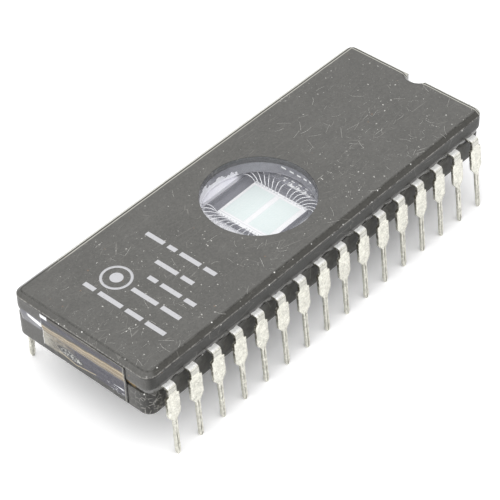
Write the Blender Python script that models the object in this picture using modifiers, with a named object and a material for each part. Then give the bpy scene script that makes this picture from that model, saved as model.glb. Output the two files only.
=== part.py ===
"""Window-lidded ceramic dual in-line memory package with 32 leads.

The package stands on its lead tips. +X points to the notched end, the two rows of leads lie at +Y and -Y,
and the origin is on the floor below the middle of the body. Lead 1 is at +Y beside the notch; the numbers
run along +Y towards -X and come back along -Y.
"""

import math

import bmesh
import bpy
from mathutils import Matrix, Vector

MM = 0.001
COLLECTION = "eprom_chip"

# Fits and mesh quality
FIT = 0.01 * MM              # clearance between pieces that are fused on the real package
WELD = 0.002 * MM            # vertices nearer than this are one vertex
FLAT = math.radians(0.5)     # faces within this angle are one face
SMOOTH = math.radians(35)    # edges flatter than this are shaded smooth
CORNER_STEPS = 6             # facets on a rounded plan corner
NOTCH_STEPS = 10             # facets round the index notch
WINDOW_STEPS = 64            # facets round the window

# Lead rows
PITCH = 2.54 * MM
LEADS_PER_SIDE = 16
END_MARGIN = 1.90 * MM       # last lead's middle to the end of the lid
STANDOFF = 4.66 * MM         # floor to the underside of the base

# Ceramic plates
BODY_WIDTH = 14.9 * MM
CORNER_RADIUS = 0.95 * MM
BASE_CORNER = 0.90 * MM
LID_THICKNESS = 1.70 * MM
LID_BEVEL = 0.42 * MM
BASE_THICKNESS = 2.26 * MM
BASE_END_INSET = 0.10 * MM   # the base is this much shorter than the lid at each end
BASE_SIDE_INSET = 0.08 * MM  # and this much narrower at each side
BASE_SHIFT = 0.10 * MM       # it was fired this far out of line, towards +Y
BASE_BEVEL = 0.12 * MM
SEAM_BEVEL = 0.14 * MM       # on the edges that face the seal
NOTCH_RADIUS = 0.95 * MM
NOTCH_OUT = 0.22 * MM        # its centre lies this far outside the end face
NOTCH_SHIFT = -0.08 * MM     # and this far from the middle, towards -Y

# Window
WINDOW_DIAMETER = 9.83 * MM
WINDOW_CHAMFER = 0.06 * MM
LENS_THICKNESS = 1.05 * MM
LENS_LIFT = 0.05 * MM        # lens underside above the lid's underside
LENS_ROUND = 0.05 * MM

# Seal glass
SEAL_UNDER = 0.14 * MM       # glass between the base and a lead
SEAL_OVER = 0.24 * MM        # glass between a lead and the lid
SEAL_RECESS = 0.38 * MM      # how far the glass draws back between two leads
SEAL_STEPS = 4               # outline points for each pitch
POOL_MARGIN = 1.00 * MM      # the upper glass keeps this far back from the cavity
POOL_WAVE = 0.13 * MM        # unevenness of its flowed edge
POOL_LOBES = (7, 13)         # large lobes, and small ones half as deep
POOL_STEPS = 56

# Die and its cavity
CAVITY_LENGTH = 8.2 * MM
CAVITY_WIDTH = 8.4 * MM
CAVITY_DEPTH = 0.58 * MM
CAVITY_CORNER = 0.5 * MM
DIE_LENGTH = 5.20 * MM
DIE_WIDTH = 5.70 * MM
DIE_THICKNESS = 0.50 * MM
DIE_OFFSET = 0.65 * MM       # the die sits this far towards the notched end
DIE_DRIFT = 0.26 * MM        # and this far towards +Y
DIE_TURN = math.radians(0.8)
ATTACH_THICKNESS = 0.04 * MM
ATTACH_MARGIN = 0.22 * MM    # the attach layer shows this far round the die
ATTACH_CORNER = 0.35 * MM

# Lead strip, cut flat and then bent
LEAD_THICKNESS = 0.25 * MM
STRAP_WIDTH = 0.92 * MM
SHOULDER_WIDTH = 1.40 * MM
PIN_WIDTH = 0.46 * MM
TIP_WIDTH = 0.24 * MM
TIP_LENGTH = 0.28 * MM
BEND_RADIUS = 0.40 * MM      # to the middle of the strip
BEND_STEPS = 5
BEND_OUT = 0.06 * MM         # the bend starts this far outside the lid
LEAN = {1: math.radians(3.4), -1: math.radians(4.4)}   # pins of the +Y and the -Y row lean outwards
LEAN_DRIFT = math.radians(1.6)   # more at the notched end and less at the plain end
SKEW = math.radians(0.45)    # pins also lean a little towards the notched end
SKEW_DRIFT = math.radians(0.8)   # more there, and back at the plain end
SHOULDER_TOP = 6.32 * MM     # heights above the floor
SHOULDER_BOTTOM = 4.35 * MM
PIN_TOP = 3.72 * MM
SHOULDER_SLOPE = 0.12 * MM   # length of the slant from strap to shoulder

# Lead fingers inside the seal
FINGER_WIDTH = 0.42 * MM
FINGER_PITCH = 0.78 * MM
FINGER_SETBACK = 0.20 * MM   # finger tip to the edge of the cavity
FINGER_TURN = 0.80 * MM      # radius on which the row of tips turns the cavity's corner
NECK_WIDTH = 0.62 * MM
KNEE_PLACE = 0.28            # on the way from the tip to the lid's edge: where the fan begins,
NECK_PLACE = 0.57            # where it ends
STRAP_PLACE = 0.75           # and where the full strap begins

# Bond wires
WIRE_DIAMETER = 0.05 * MM
WIRE_STEPS = 7
WIRE_RISE = 0.12 * MM        # top of the loop above the finger
WIRE_FULLNESS = 0.8          # below 1 the loop is steeper at its ends than a sine
WIRE_FOOT = 0.16 * MM        # length that lies on the pad or the finger
PAD_INSET = 0.17 * MM        # pad row to the edge of the die
PAD_PITCH = 0.315 * MM
PAD_MIDDLE_GAP = 0.42 * MM   # first pad from the die's middle line
BOND_DEPTH = 0.22 * MM       # finger tip to the bond on it

# Film over the plain end
FILM_THICKNESS = 0.05 * MM
FILM_SIDE_A = 4.20 * MM      # its edge towards +Y
FILM_SIDE_B = -5.00 * MM     # its edge towards -Y
FILM_TOP_GAP = 0.10 * MM     # below the lid's bevel
FILM_BOTTOM_GAP = 0.10 * MM  # above the base's lower bevel
FILM_KEY = 0.22 * MM         # how far its adhesive fills the seam

# Places worked out from the sizes above
BODY_LENGTH = (LEADS_PER_SIDE - 1) * PITCH + 2 * END_MARGIN
BASE_TOP = STANDOFF + BASE_THICKNESS
LEAD_BOTTOM = BASE_TOP + SEAL_UNDER
LEAD_TOP = LEAD_BOTTOM + LEAD_THICKNESS
LEAD_MIDDLE = (LEAD_BOTTOM + LEAD_TOP) / 2
LID_BOTTOM = LEAD_TOP + SEAL_OVER
LID_TOP = LID_BOTTOM + LID_THICKNESS
CAVITY_FLOOR = BASE_TOP - CAVITY_DEPTH
DIE_BOTTOM = CAVITY_FLOOR + FIT + ATTACH_THICKNESS + FIT
DIE_TOP = DIE_BOTTOM + DIE_THICKNESS
LENS_BOTTOM = LID_BOTTOM + LENS_LIFT
FINGER_RUN = (BODY_WIDTH - CAVITY_WIDTH) / 2 - FINGER_SETBACK
BEND_START = BODY_WIDTH / 2 + BEND_OUT
WIRE_RADIUS = WIRE_DIAMETER / 2

# Materials: colour, roughness, metal
CERAMIC = ((0.145, 0.140, 0.132, 1), 0.55, 0)
GLASS = ((0.10, 0.10, 0.115, 1), 0.25, 0)
LENS = ((0.80, 0.82, 0.86, 1), 0.05, 0)
SILICON = ((0.72, 0.80, 0.78, 1), 0.15, 0.6)
GOLD = ((0.62, 0.48, 0.24, 1), 0.35, 1)
TIN = ((0.70, 0.70, 0.66, 1), 0.35, 1)
TAN = ((0.52, 0.44, 0.31, 1), 0.20, 0)


def clear_scene():
    for thing in list(bpy.data.objects):
        bpy.data.objects.remove(thing, do_unlink=True)


def new_collection(name):
    collection = bpy.data.collections.new(name)
    bpy.context.scene.collection.children.link(collection)
    return collection


def new_material(name, look):
    color, roughness, metallic = look
    material = bpy.data.materials.new(name)
    material.use_nodes = True
    shader = material.node_tree.nodes["Principled BSDF"]
    shader.inputs["Base Color"].default_value = color
    shader.inputs["Roughness"].default_value = roughness
    shader.inputs["Metallic"].default_value = metallic
    material.diffuse_color = color
    return material


def add_part(name, mesh, material):
    """Puts a finished mesh in the scene as a named piece."""
    part = bpy.data.objects.new(name, mesh)
    parts.objects.link(part)
    mesh.materials.clear()
    mesh.materials.append(material)
    mesh.shade_smooth()
    mesh.set_sharp_from_angle(angle=SMOOTH)
    return part


def add_cutter(name, mesh):
    cutter = bpy.data.objects.new(name, mesh)
    cutters.objects.link(cutter)
    cutter.hide_render = True
    cutter.display_type = "WIRE"
    return cutter


def combine(part, tool, operation):
    """Cuts the tool out of the part, or joins it on."""
    step = part.modifiers.new(tool.name, "BOOLEAN")
    step.operation = operation
    step.object = tool
    step.solver = "EXACT"


def mesh_of(source):
    """Turns a curve object into a closed mesh in world space, and removes the curve."""
    bpy.context.view_layer.update()
    mesh = bpy.data.meshes.new_from_object(source.evaluated_get(bpy.context.evaluated_depsgraph_get()))
    mesh.name = source.name
    mesh.transform(source.matrix_world)
    bpy.data.objects.remove(source, do_unlink=True)
    shape = bmesh.new()
    shape.from_mesh(mesh)
    bmesh.ops.remove_doubles(shape, verts=shape.verts, dist=WELD)
    bmesh.ops.recalc_face_normals(shape, faces=shape.faces)
    shape.to_mesh(mesh)
    shape.free()
    return mesh


def poly_curve(name, points, cyclic):
    curve = bpy.data.curves.new(name, "CURVE")
    spline = curve.splines.new("POLY")
    spline.points.add(len(points) - 1)
    for point, place in zip(spline.points, points):
        point.co = (*place, 1)
    spline.use_cyclic_u = cyclic
    drawing = bpy.data.objects.new(name, curve)
    cutters.objects.link(drawing)
    return drawing


def outline_mesh(name, outline, bottom, top):
    """A flat outline filled and given its thickness, with one face on each flat side."""
    drawing = poly_curve(name, [(x, y, 0) for x, y in outline], True)
    drawing.data.dimensions = "2D"
    drawing.data.fill_mode = "BOTH"
    drawing.data.extrude = (top - bottom) / 2
    drawing.location.z = (top + bottom) / 2
    mesh = mesh_of(drawing)
    shape = bmesh.new()
    shape.from_mesh(mesh)
    bmesh.ops.dissolve_limit(shape, angle_limit=FLAT, verts=shape.verts, edges=shape.edges)
    shape.to_mesh(mesh)
    shape.free()
    return mesh


def bevel_rim(mesh, height, width):
    """Bevels all edges that lie in the flat face at this height."""
    shape = bmesh.new()
    shape.from_mesh(mesh)
    rim = [edge for edge in shape.edges if all(abs(vert.co.z - height) < WELD for vert in edge.verts)]
    bmesh.ops.bevel(shape, geom=rim, offset=width, offset_type="OFFSET", segments=1, affect="EDGES")
    shape.to_mesh(mesh)
    shape.free()


def arc(centre, radius, start, end, steps):
    """Points on an arc, both ends included."""
    angles = [start + (end - start) * step / steps for step in range(steps + 1)]
    return [(centre[0] + radius * math.cos(angle), centre[1] + radius * math.sin(angle)) for angle in angles]


def plate_outline(length, width, corner, notched=False):
    """A rectangle with rounded corners and, where wanted, a round notch in the end at +X."""
    half_x = length / 2
    half_y = width / 2
    quarter = math.pi / 2
    points = []
    for turn, (side_x, side_y) in enumerate(((-1, -1), (1, -1), (1, 1), (-1, 1))):
        centre = (side_x * (half_x - corner), side_y * (half_y - corner))
        start = math.pi + turn * quarter
        points += arc(centre, corner, start, start + quarter, CORNER_STEPS)
        if notched and (side_x, side_y) == (1, -1):
            out = BODY_LENGTH / 2 + NOTCH_OUT
            mouth = math.acos((out - half_x) / NOTCH_RADIUS)
            points += arc((out, NOTCH_SHIFT), NOTCH_RADIUS, mouth - math.pi, -mouth - math.pi, NOTCH_STEPS)
    return points


def turned_cutter(name, profile, steps):
    """A profile of radius and height points, turned round the Z axis."""
    mesh = bpy.data.meshes.new(name)
    shape = bmesh.new()
    verts = [shape.verts.new((radius, 0, height)) for radius, height in profile]
    for first, second in zip(verts, verts[1:]):
        shape.edges.new((first, second))
    shape.to_mesh(mesh)
    shape.free()
    cutter = add_cutter(name, mesh)
    screw = cutter.modifiers.new("turn", "SCREW")
    screw.steps = steps
    screw.render_steps = steps
    screw.use_merge_vertices = True
    screw.merge_threshold = WELD
    return cutter


def make_base(material):
    """Lower ceramic plate with the die cavity."""
    outline = plate_outline(BODY_LENGTH - 2 * BASE_END_INSET, BODY_WIDTH - 2 * BASE_SIDE_INSET,
                            BASE_CORNER, notched=True)
    mesh = outline_mesh("ceramic_base", outline, STANDOFF, BASE_TOP)
    mesh.transform(Matrix.Translation((0, BASE_SHIFT, 0)))
    bevel_rim(mesh, STANDOFF, BASE_BEVEL)
    bevel_rim(mesh, BASE_TOP, SEAM_BEVEL)
    base = add_part("ceramic_base", mesh, material)
    pocket = outline_mesh("cavity", plate_outline(CAVITY_LENGTH, CAVITY_WIDTH, CAVITY_CORNER),
                          CAVITY_FLOOR, BASE_TOP + CAVITY_DEPTH)
    combine(base, add_cutter("cavity", pocket), "DIFFERENCE")


def make_lid(material):
    """Upper ceramic plate with its bevelled rim, the notch and the window hole."""
    outline = plate_outline(BODY_LENGTH, BODY_WIDTH, CORNER_RADIUS, notched=True)
    mesh = outline_mesh("ceramic_lid", outline, LID_BOTTOM, LID_TOP)
    bevel_rim(mesh, LID_TOP, LID_BEVEL)
    bevel_rim(mesh, LID_BOTTOM, SEAM_BEVEL)
    lid = add_part("ceramic_lid", mesh, material)
    radius = WINDOW_DIAMETER / 2
    beyond = LID_THICKNESS / 2
    flare = radius + WINDOW_CHAMFER
    profile = [(0, LID_TOP + beyond), (flare, LID_TOP + beyond), (flare, LID_TOP),
               (radius, LID_TOP - WINDOW_CHAMFER), (radius, LID_BOTTOM - beyond), (0, LID_BOTTOM - beyond)]
    combine(lid, turned_cutter("window_hole", profile, WINDOW_STEPS), "DIFFERENCE")


def make_lens(material):
    """Clear disc in the window hole."""
    shape = bmesh.new()
    place = Matrix.Translation((0, 0, LENS_BOTTOM + LENS_THICKNESS / 2))
    radius = WINDOW_DIAMETER / 2 - FIT
    bmesh.ops.create_cone(shape, cap_ends=True, segments=WINDOW_STEPS, radius1=radius, radius2=radius,
                          depth=LENS_THICKNESS, matrix=place)
    mesh = bpy.data.meshes.new("window_lens")
    shape.to_mesh(mesh)
    shape.free()
    for height in (LENS_BOTTOM, LENS_BOTTOM + LENS_THICKNESS):
        bevel_rim(mesh, height, LENS_ROUND)
    add_part("window_lens", mesh, material)


def seal_outline():
    """Outline of the seal glass: it reaches the lid's edge at each lead and draws back between them."""
    reach = BODY_WIDTH / 2 - 2 * FIT
    end = BODY_LENGTH / 2 - SEAL_RECESS - BASE_END_INSET
    row = (LEADS_PER_SIDE - 1) * PITCH / 2
    count = (LEADS_PER_SIDE - 1) * SEAL_STEPS
    side = []
    for step in range(count + 1):
        draw = SEAL_RECESS * math.sin(math.pi * step / SEAL_STEPS) ** 2
        side.append((-row + step * PITCH / SEAL_STEPS, -reach + draw))
    corner = CORNER_RADIUS - SEAL_RECESS / 2
    hip = -reach + SEAL_RECESS
    lower = [(-end, hip + corner), *side, (end, hip + corner)]
    return lower + [(-x, -y) for x, y in lower]


def pool_outline():
    """Uneven ring where the upper glass stopped flowing, under the rim of the window."""
    reach_x = CAVITY_LENGTH / 2 + POOL_MARGIN
    reach_y = CAVITY_WIDTH / 2 + POOL_MARGIN
    points = []
    for step in range(POOL_STEPS):
        angle = 2 * math.pi * step / POOL_STEPS
        wave = math.sin(POOL_LOBES[0] * angle) + math.cos(POOL_LOBES[1] * angle) / 2
        grow = POOL_WAVE * wave
        points.append(((reach_x + grow) * math.cos(angle), (reach_y + grow) * math.sin(angle)))
    return points


def make_seal(material):
    """Fired glass between the plates, with the channels that the leads lie in."""
    mesh = outline_mesh("seal_glass", seal_outline(), BASE_TOP + FIT, LID_BOTTOM - FIT)
    seal = add_part("seal_glass", mesh, material)
    well = plate_outline(CAVITY_LENGTH + FINGER_SETBACK, CAVITY_WIDTH + FINGER_SETBACK, CAVITY_CORNER)
    well_mesh = outline_mesh("seal_well", well, STANDOFF, LID_TOP)
    combine(seal, add_cutter("seal_well", well_mesh), "DIFFERENCE")
    pool_mesh = outline_mesh("seal_pool", pool_outline(), LEAD_TOP, LID_TOP)
    combine(seal, add_cutter("seal_pool", pool_mesh), "DIFFERENCE")
    channels = bmesh.new()
    for side, index in lead_places():
        outline = ribbon(lead_path(side, index), FIT)
        channel = outline_mesh("channel", outline, LEAD_BOTTOM - FIT, LEAD_TOP + FIT)
        if side < 0:
            channel.transform(Matrix.Rotation(math.pi, 4, "Z"))
        channels.from_mesh(channel)
        bpy.data.meshes.remove(channel)
    channel_mesh = bpy.data.meshes.new("lead_channels")
    channels.to_mesh(channel_mesh)
    channels.free()
    combine(seal, add_cutter("lead_channels", channel_mesh), "DIFFERENCE")


def make_die(material):
    """Silicon die, a little off the cavity's middle and turned a little, as it was placed."""
    shape = bmesh.new()
    size = Matrix.Diagonal((DIE_LENGTH, DIE_WIDTH, DIE_THICKNESS, 1))
    down = Matrix.Translation((0, 0, -DIE_THICKNESS / 2))
    bmesh.ops.create_cube(shape, size=1, matrix=die_frame() @ down @ size)
    mesh = bpy.data.meshes.new("silicon_die")
    shape.to_mesh(mesh)
    shape.free()
    add_part("silicon_die", mesh, material)


def make_attach(material):
    """Thin layer that holds the die down."""
    outline = plate_outline(DIE_LENGTH + 2 * ATTACH_MARGIN, DIE_WIDTH + 2 * ATTACH_MARGIN, ATTACH_CORNER)
    mesh = outline_mesh("die_attach", outline, CAVITY_FLOOR + FIT - DIE_TOP, DIE_BOTTOM - FIT - DIE_TOP)
    mesh.transform(die_frame())
    add_part("die_attach", mesh, material)


def die_frame():
    """The middle of the die's top face."""
    return Matrix.Translation((DIE_OFFSET, DIE_DRIFT, DIE_TOP)) @ Matrix.Rotation(DIE_TURN, 4, "Z")


def lead_places():
    """Side and index of each lead, in the order of their numbers. Index 0 is beside the notch at +Y."""
    for side in (1, -1):
        for index in range(LEADS_PER_SIDE):
            yield side, index


def tip_place(distance):
    """Point and outward direction on the line of finger tips, which starts in the middle of the cavity's
    end and turns its corner to the long side."""
    half_x = CAVITY_LENGTH / 2 + FINGER_SETBACK
    half_y = CAVITY_WIDTH / 2 + FINGER_SETBACK
    straight = half_y - FINGER_TURN
    bend = FINGER_TURN * math.pi / 2
    if distance < straight:
        return (half_x, distance), (1, 0)
    if distance < straight + bend:
        angle = (distance - straight) / FINGER_TURN
        out = (math.cos(angle), math.sin(angle))
        return (half_x - FINGER_TURN * (1 - out[0]), straight + FINGER_TURN * out[1]), out
    return (half_x - FINGER_TURN - (distance - straight - bend), half_y), (0, 1)


def finger_rank(index):
    """Which end of the cavity a lead goes to, and its rank there from the middle line outwards."""
    if index < LEADS_PER_SIDE / 2:
        return 1, index
    return -1, LEADS_PER_SIDE - 1 - index


def lead_x(index):
    """Place of a lead along the row at +Y, where index 0 is beside the notch."""
    return ((LEADS_PER_SIDE - 1) / 2 - index) * PITCH


def end_share(side, index):
    """How near a lead is to an end, from -1 at the plain end to 1 at the notched one. It stays small along
    the middle of the row."""
    return side * (2 * lead_x(index) / (PITCH * (LEADS_PER_SIDE - 1))) ** 3


def lead_bend(side, index):
    """Angle through which a strip is bent down."""
    return math.pi / 2 - LEAN[side] - LEAN_DRIFT * end_share(side, index)


def lead_skew(side, index):
    """Angle of a pin along its row, in the frame of the row at +Y."""
    return side * (SKEW + SKEW_DRIFT * end_share(side, index))


def lead_path(side, index):
    """Middle line of the flat strip as (x, y, width), from the finger tip out to the pin's tip, for the row
    at +Y. The row at -Y is the same row turned half round."""
    place = lead_x(index)
    end, rank = finger_rank(index)
    tip, out = tip_place((rank + 0.5) * FINGER_PITCH)
    straight = KNEE_PLACE * FINGER_RUN
    knee = (tip[0] + out[0] * straight, tip[1] + out[1] * straight)
    neck = BODY_WIDTH / 2 - (1 - NECK_PLACE) * FINGER_RUN
    strap = BODY_WIDTH / 2 - (1 - STRAP_PLACE) * FINGER_RUN
    path = [(end * tip[0], tip[1], FINGER_WIDTH), (end * knee[0], knee[1], FINGER_WIDTH),
            (place, neck, NECK_WIDTH), (place, strap, STRAP_WIDTH)]
    for height, width in ((SHOULDER_TOP + SHOULDER_SLOPE, STRAP_WIDTH), (SHOULDER_TOP, SHOULDER_WIDTH),
                          (SHOULDER_BOTTOM, SHOULDER_WIDTH), (PIN_TOP, PIN_WIDTH),
                          (TIP_LENGTH, PIN_WIDTH), (0, TIP_WIDTH)):
        path.append((place, flat_place(height, lead_bend(side, index)), width))
    return path


def flat_place(height, bend):
    """Where a height above the floor lies along the strip while it is still flat."""
    after_bend = LEAD_MIDDLE - BEND_RADIUS * (1 - math.cos(bend))
    foot = LEAD_THICKNESS / 2 * math.cos(bend)
    straight = (after_bend - foot - height) / math.sin(bend)
    return BEND_START + BEND_RADIUS * bend + straight


def ribbon(path, grow):
    """Outline of a strip that follows a middle line of (x, y, width), made wider and longer by grow."""
    points = [Vector(step[:2]) for step in path]
    widths = [step[2] / 2 + grow for step in path]
    runs = [(after - before).normalized() for before, after in zip(points, points[1:])]
    points[0] = points[0] - runs[0] * grow
    points[-1] = points[-1] + runs[-1] * grow
    left = []
    right = []
    for index, (point, width) in enumerate(zip(points, widths)):
        before = runs[max(index - 1, 0)]
        after = runs[min(index, len(runs) - 1)]
        across = Vector((-before.y - after.y, before.x + after.x)).normalized()
        across *= width / across.dot(Vector((-after.y, after.x)))
        left.append(tuple(point + across))
        right.append(tuple(point - across))
    return right + left[::-1]


def bend_strip(mesh, bend, skew):
    """Bends the flat strip down outside the body, and leans it along the row. The middle of its thickness
    keeps its length."""
    shape = bmesh.new()
    shape.from_mesh(mesh)
    for step in range(BEND_STEPS + 1):
        station = BEND_START + BEND_RADIUS * bend * step / BEND_STEPS
        every = shape.verts[:] + shape.edges[:] + shape.faces[:]
        bmesh.ops.bisect_plane(shape, geom=every, dist=WELD, plane_co=(0, station, 0), plane_no=(0, 1, 0))
    for vert in shape.verts:
        along = vert.co.y - BEND_START
        if along <= 0:
            continue
        angle = min(along / BEND_RADIUS, bend)
        rest = max(along - BEND_RADIUS * bend, 0)
        reach = BEND_RADIUS + vert.co.z - LEAD_MIDDLE
        vert.co.y = BEND_START + reach * math.sin(angle) + rest * math.cos(angle)
        vert.co.z = LEAD_MIDDLE - BEND_RADIUS + reach * math.cos(angle) - rest * math.sin(angle)
        vert.co.x += rest * math.tan(skew)
    shape.to_mesh(mesh)
    shape.free()


def wire_points(side, index):
    """Route of a bond wire: flat on its pad, up over a loop and down flat on its finger."""
    end, rank = finger_rank(index)
    end *= side
    along = end * (DIE_LENGTH / 2 - PAD_INSET)
    across = side * (PAD_MIDDLE_GAP + rank * PAD_PITCH)
    pad = die_frame() @ Vector((along, across, FIT + WIRE_RADIUS))
    tip, out = tip_place((rank + 0.5) * FINGER_PITCH)
    bond = Vector((end * (tip[0] + out[0] * BOND_DEPTH), side * (tip[1] + out[1] * BOND_DEPTH), LEAD_TOP))
    over = Vector((bond.x - pad.x, bond.y - pad.y, 0))
    ahead = over.normalized()
    start = pad + ahead * WIRE_FOOT
    points = [pad, start]
    stop = bond - ahead * WIRE_FOOT + Vector((0, 0, WIRE_RADIUS / 2))
    for step in range(1, WIRE_STEPS):
        share = step / WIRE_STEPS
        place = start.lerp(stop, share)
        loop = math.sin(math.pi * share) ** WIRE_FULLNESS * (1 - share / 2)
        place.z += (WIRE_RISE + LEAD_TOP - DIE_TOP) * loop
        points.append(place)
    points.append(stop)
    points.append(bond)
    return points


def make_wire(name, side, index):
    """Round wire along its route, as a closed mesh."""
    drawing = poly_curve(name, [tuple(point) for point in wire_points(side, index)], False)
    drawing.data.dimensions = "3D"
    drawing.data.bevel_depth = WIRE_RADIUS
    drawing.data.bevel_resolution = 1
    drawing.data.use_fill_caps = True
    return add_cutter(name, mesh_of(drawing))


def make_lead(number, side, index, material):
    """One lead: finger, strap, shoulder and pin cut from one strip, with its bond wire on the finger."""
    name = f"lead_{number:02d}"
    mesh = outline_mesh(name, ribbon(lead_path(side, index), 0), LEAD_BOTTOM, LEAD_TOP)
    bend_strip(mesh, lead_bend(side, index), lead_skew(side, index))
    if side < 0:
        mesh.transform(Matrix.Rotation(math.pi, 4, "Z"))
    lead = add_part(name, mesh, material)
    combine(lead, make_wire(f"wire_{number:02d}", side, index), "UNION")


def make_film(material):
    """Film over the plain end. Its section steps in from the lid to the base and keys into the seam. It is
    drawn as seen along Y, with its heights as the drawing's Y, and then stood up."""
    lid_face = -BODY_LENGTH / 2 - FIT
    base_face = lid_face + BASE_END_INSET
    top = LID_TOP - LID_BEVEL - FILM_TOP_GAP
    foot = STANDOFF + BASE_BEVEL + FILM_BOTTOM_GAP
    key = base_face + FILM_KEY
    over = LID_BOTTOM - 2 * FIT
    under = BASE_TOP + 2 * FIT
    section = [(lid_face, top), (lid_face, over), (key, over), (key, under), (base_face, under),
               (base_face, foot), (base_face - FILM_THICKNESS, foot), (base_face - FILM_THICKNESS, under),
               (lid_face - FILM_THICKNESS, over), (lid_face - FILM_THICKNESS, top)]
    mesh = outline_mesh("end_film", section, FILM_SIDE_B, FILM_SIDE_A)
    mesh.transform(Matrix(((1, 0, 0, 0), (0, 0, 1, 0), (0, 1, 0, 0), (0, 0, 0, 1))))
    mesh.flip_normals()
    add_part("end_film", mesh, material)


def main():
    ceramic = new_material("ceramic", CERAMIC)
    make_base(ceramic)
    make_lid(ceramic)
    make_seal(new_material("seal_glass", GLASS))
    make_lens(new_material("window_glass", LENS))
    make_attach(new_material("die_attach", GOLD))
    make_die(new_material("silicon", SILICON))
    tin = new_material("tinned_lead", TIN)
    for number, (side, index) in enumerate(lead_places(), 1):
        make_lead(number, side, index, tin)
    make_film(new_material("end_film", TAN))


clear_scene()
parts = new_collection(COLLECTION)
cutters = new_collection("cutters")
main()
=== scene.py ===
"""Looks of a windowed ceramic memory package with two rows of leads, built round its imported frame.

Lengths are metres. Tables and finishes are in millimetres: a finish reads object coordinates turned into
millimetres, so a texture scale of 4 has about four features in a millimetre.
"""

import math
from collections import namedtuple

import bmesh
import bpy
from bpy.props import FloatProperty, FloatVectorProperty, IntProperty, PointerProperty
from mathutils import Matrix, Vector, noise


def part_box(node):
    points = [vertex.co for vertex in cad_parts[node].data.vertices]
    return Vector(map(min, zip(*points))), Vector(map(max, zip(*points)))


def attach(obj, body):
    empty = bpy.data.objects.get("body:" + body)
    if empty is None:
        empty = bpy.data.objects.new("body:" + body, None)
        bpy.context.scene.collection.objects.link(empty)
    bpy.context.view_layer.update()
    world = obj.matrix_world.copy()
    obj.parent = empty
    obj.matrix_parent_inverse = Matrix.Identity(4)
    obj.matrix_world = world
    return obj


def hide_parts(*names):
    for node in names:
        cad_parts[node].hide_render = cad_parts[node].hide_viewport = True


bl_info = {
    "name": "Windowed ceramic package",
    "version": (1, 0, 0),
    "blender": (4, 5, 0),
    "location": "3D View > Sidebar > Chip",
    "description": "Builds the plates, window, die, leads, end film, print marks and wear of a ceramic package",
    "category": "Object",
}

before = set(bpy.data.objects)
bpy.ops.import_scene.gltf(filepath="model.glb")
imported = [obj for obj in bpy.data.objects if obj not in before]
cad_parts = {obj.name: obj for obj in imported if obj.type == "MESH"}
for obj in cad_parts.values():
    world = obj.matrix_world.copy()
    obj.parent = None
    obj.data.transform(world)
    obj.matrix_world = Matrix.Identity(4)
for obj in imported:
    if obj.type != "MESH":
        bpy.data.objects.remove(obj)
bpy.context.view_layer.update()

MM = 0.001
BODY = "root"
LID_LOW, LID_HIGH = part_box("ceramic_lid")
BASE_LOW, BASE_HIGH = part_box("ceramic_base")
SEAL_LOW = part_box("seal_glass")[0]
LENS_LOW, LENS_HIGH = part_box("window_lens")
DIE_LOW, DIE_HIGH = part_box("silicon_die")
FILM_LOW, FILM_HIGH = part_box("end_film")
QUARTER = math.pi / 2

# Plates, as in the part's source; the base lies a little off line with the lid
Plate = namedtuple("Plate", "half_x half_y corner shift notch_x notch_y notch_radius")
NOTCH_X, NOTCH_Y, NOTCH_RADIUS = LID_HIGH.x + 0.22 * MM, -0.08 * MM, 0.95 * MM
BASE_SHIFT = (BASE_HIGH.y + BASE_LOW.y) / 2
LID_PLATE = Plate(LID_HIGH.x, LID_HIGH.y, 0.95 * MM, 0, NOTCH_X, NOTCH_Y, NOTCH_RADIUS)
BASE_PLATE = Plate(BASE_HIGH.x, BASE_HIGH.y - BASE_SHIFT, 0.90 * MM, BASE_SHIFT, NOTCH_X, NOTCH_Y + BASE_SHIFT,
                   NOTCH_RADIUS)
CAVITY_HALF_X = 4.1 * MM
CAVITY_HALF_Y = 4.2 * MM
CAVITY_CORNER = 0.5 * MM
ATTACH_DEPTH = 0.06 * MM        # the cavity's floor lies this far below the die
RIM_REACH = 0.6 * MM            # how far a plate's profile runs in over its flat faces before it is cut off
RIM_LAP = 0.03 * MM             # flat strip between a rounding and the flat fill inside it
LONG_STEPS, SHORT_STEPS, CORNER_STEPS, NOTCH_STEPS = 168, 60, 12, 30    # mesh steps round a plate's outline

# Rows of leads, as in the part's source
PITCH = 2.54 * MM
LEADS_PER_SIDE = 16
LEAD_LOW = SEAL_LOW.z + 0.13 * MM
LEAD_HIGH = LEAD_LOW + 0.25 * MM
LEAD_THICK = LEAD_HIGH - LEAD_LOW
LEAD_MIDDLE = (LEAD_LOW + LEAD_HIGH) / 2
BEND_START = LID_HIGH.y + 0.30 * MM
BEND_RADIUS = 0.16 * MM
LEAN = {1: math.radians(3.4), -1: math.radians(4.4)}
LEAN_DRIFT = math.radians(1.6)
SKEW = math.radians(0.45)
SKEW_DRIFT = math.radians(0.8)
FINGER_PITCH = 0.78 * MM
TIP_HALF_X = 4.30 * MM
TIP_HALF_Y = 4.40 * MM
TIP_TURN = 0.80 * MM
FINGER_RUN = 3.05 * MM
KNEE_SHARE, NECK_SHARE, STRAP_SHARE = 0.28, 0.43, 0.25   # of the finger's run, from the tip and from the rim
FINGER_HALF, NECK_HALF, STRAP_HALF = 0.21 * MM, 0.31 * MM, 0.46 * MM
# Height above the floor and half width at each station of a lead outside the body, in mm
PIN_STATIONS = ((6.44, 0.46), (6.32, 0.70), (4.35, 0.70), (3.72, 0.23), (0.28, 0.23), (0, 0.12))

# Bond wires
BOND_DEPTH = 0.14 * MM          # finger tip to the bond on it
WIRE_FOOT = 0.16                # mm that lie on the pad or the finger
WIRE_STEPS = 14
WIRE_FULLNESS = 0.8             # below 1 the loop is steeper at its ends than a sine

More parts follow.
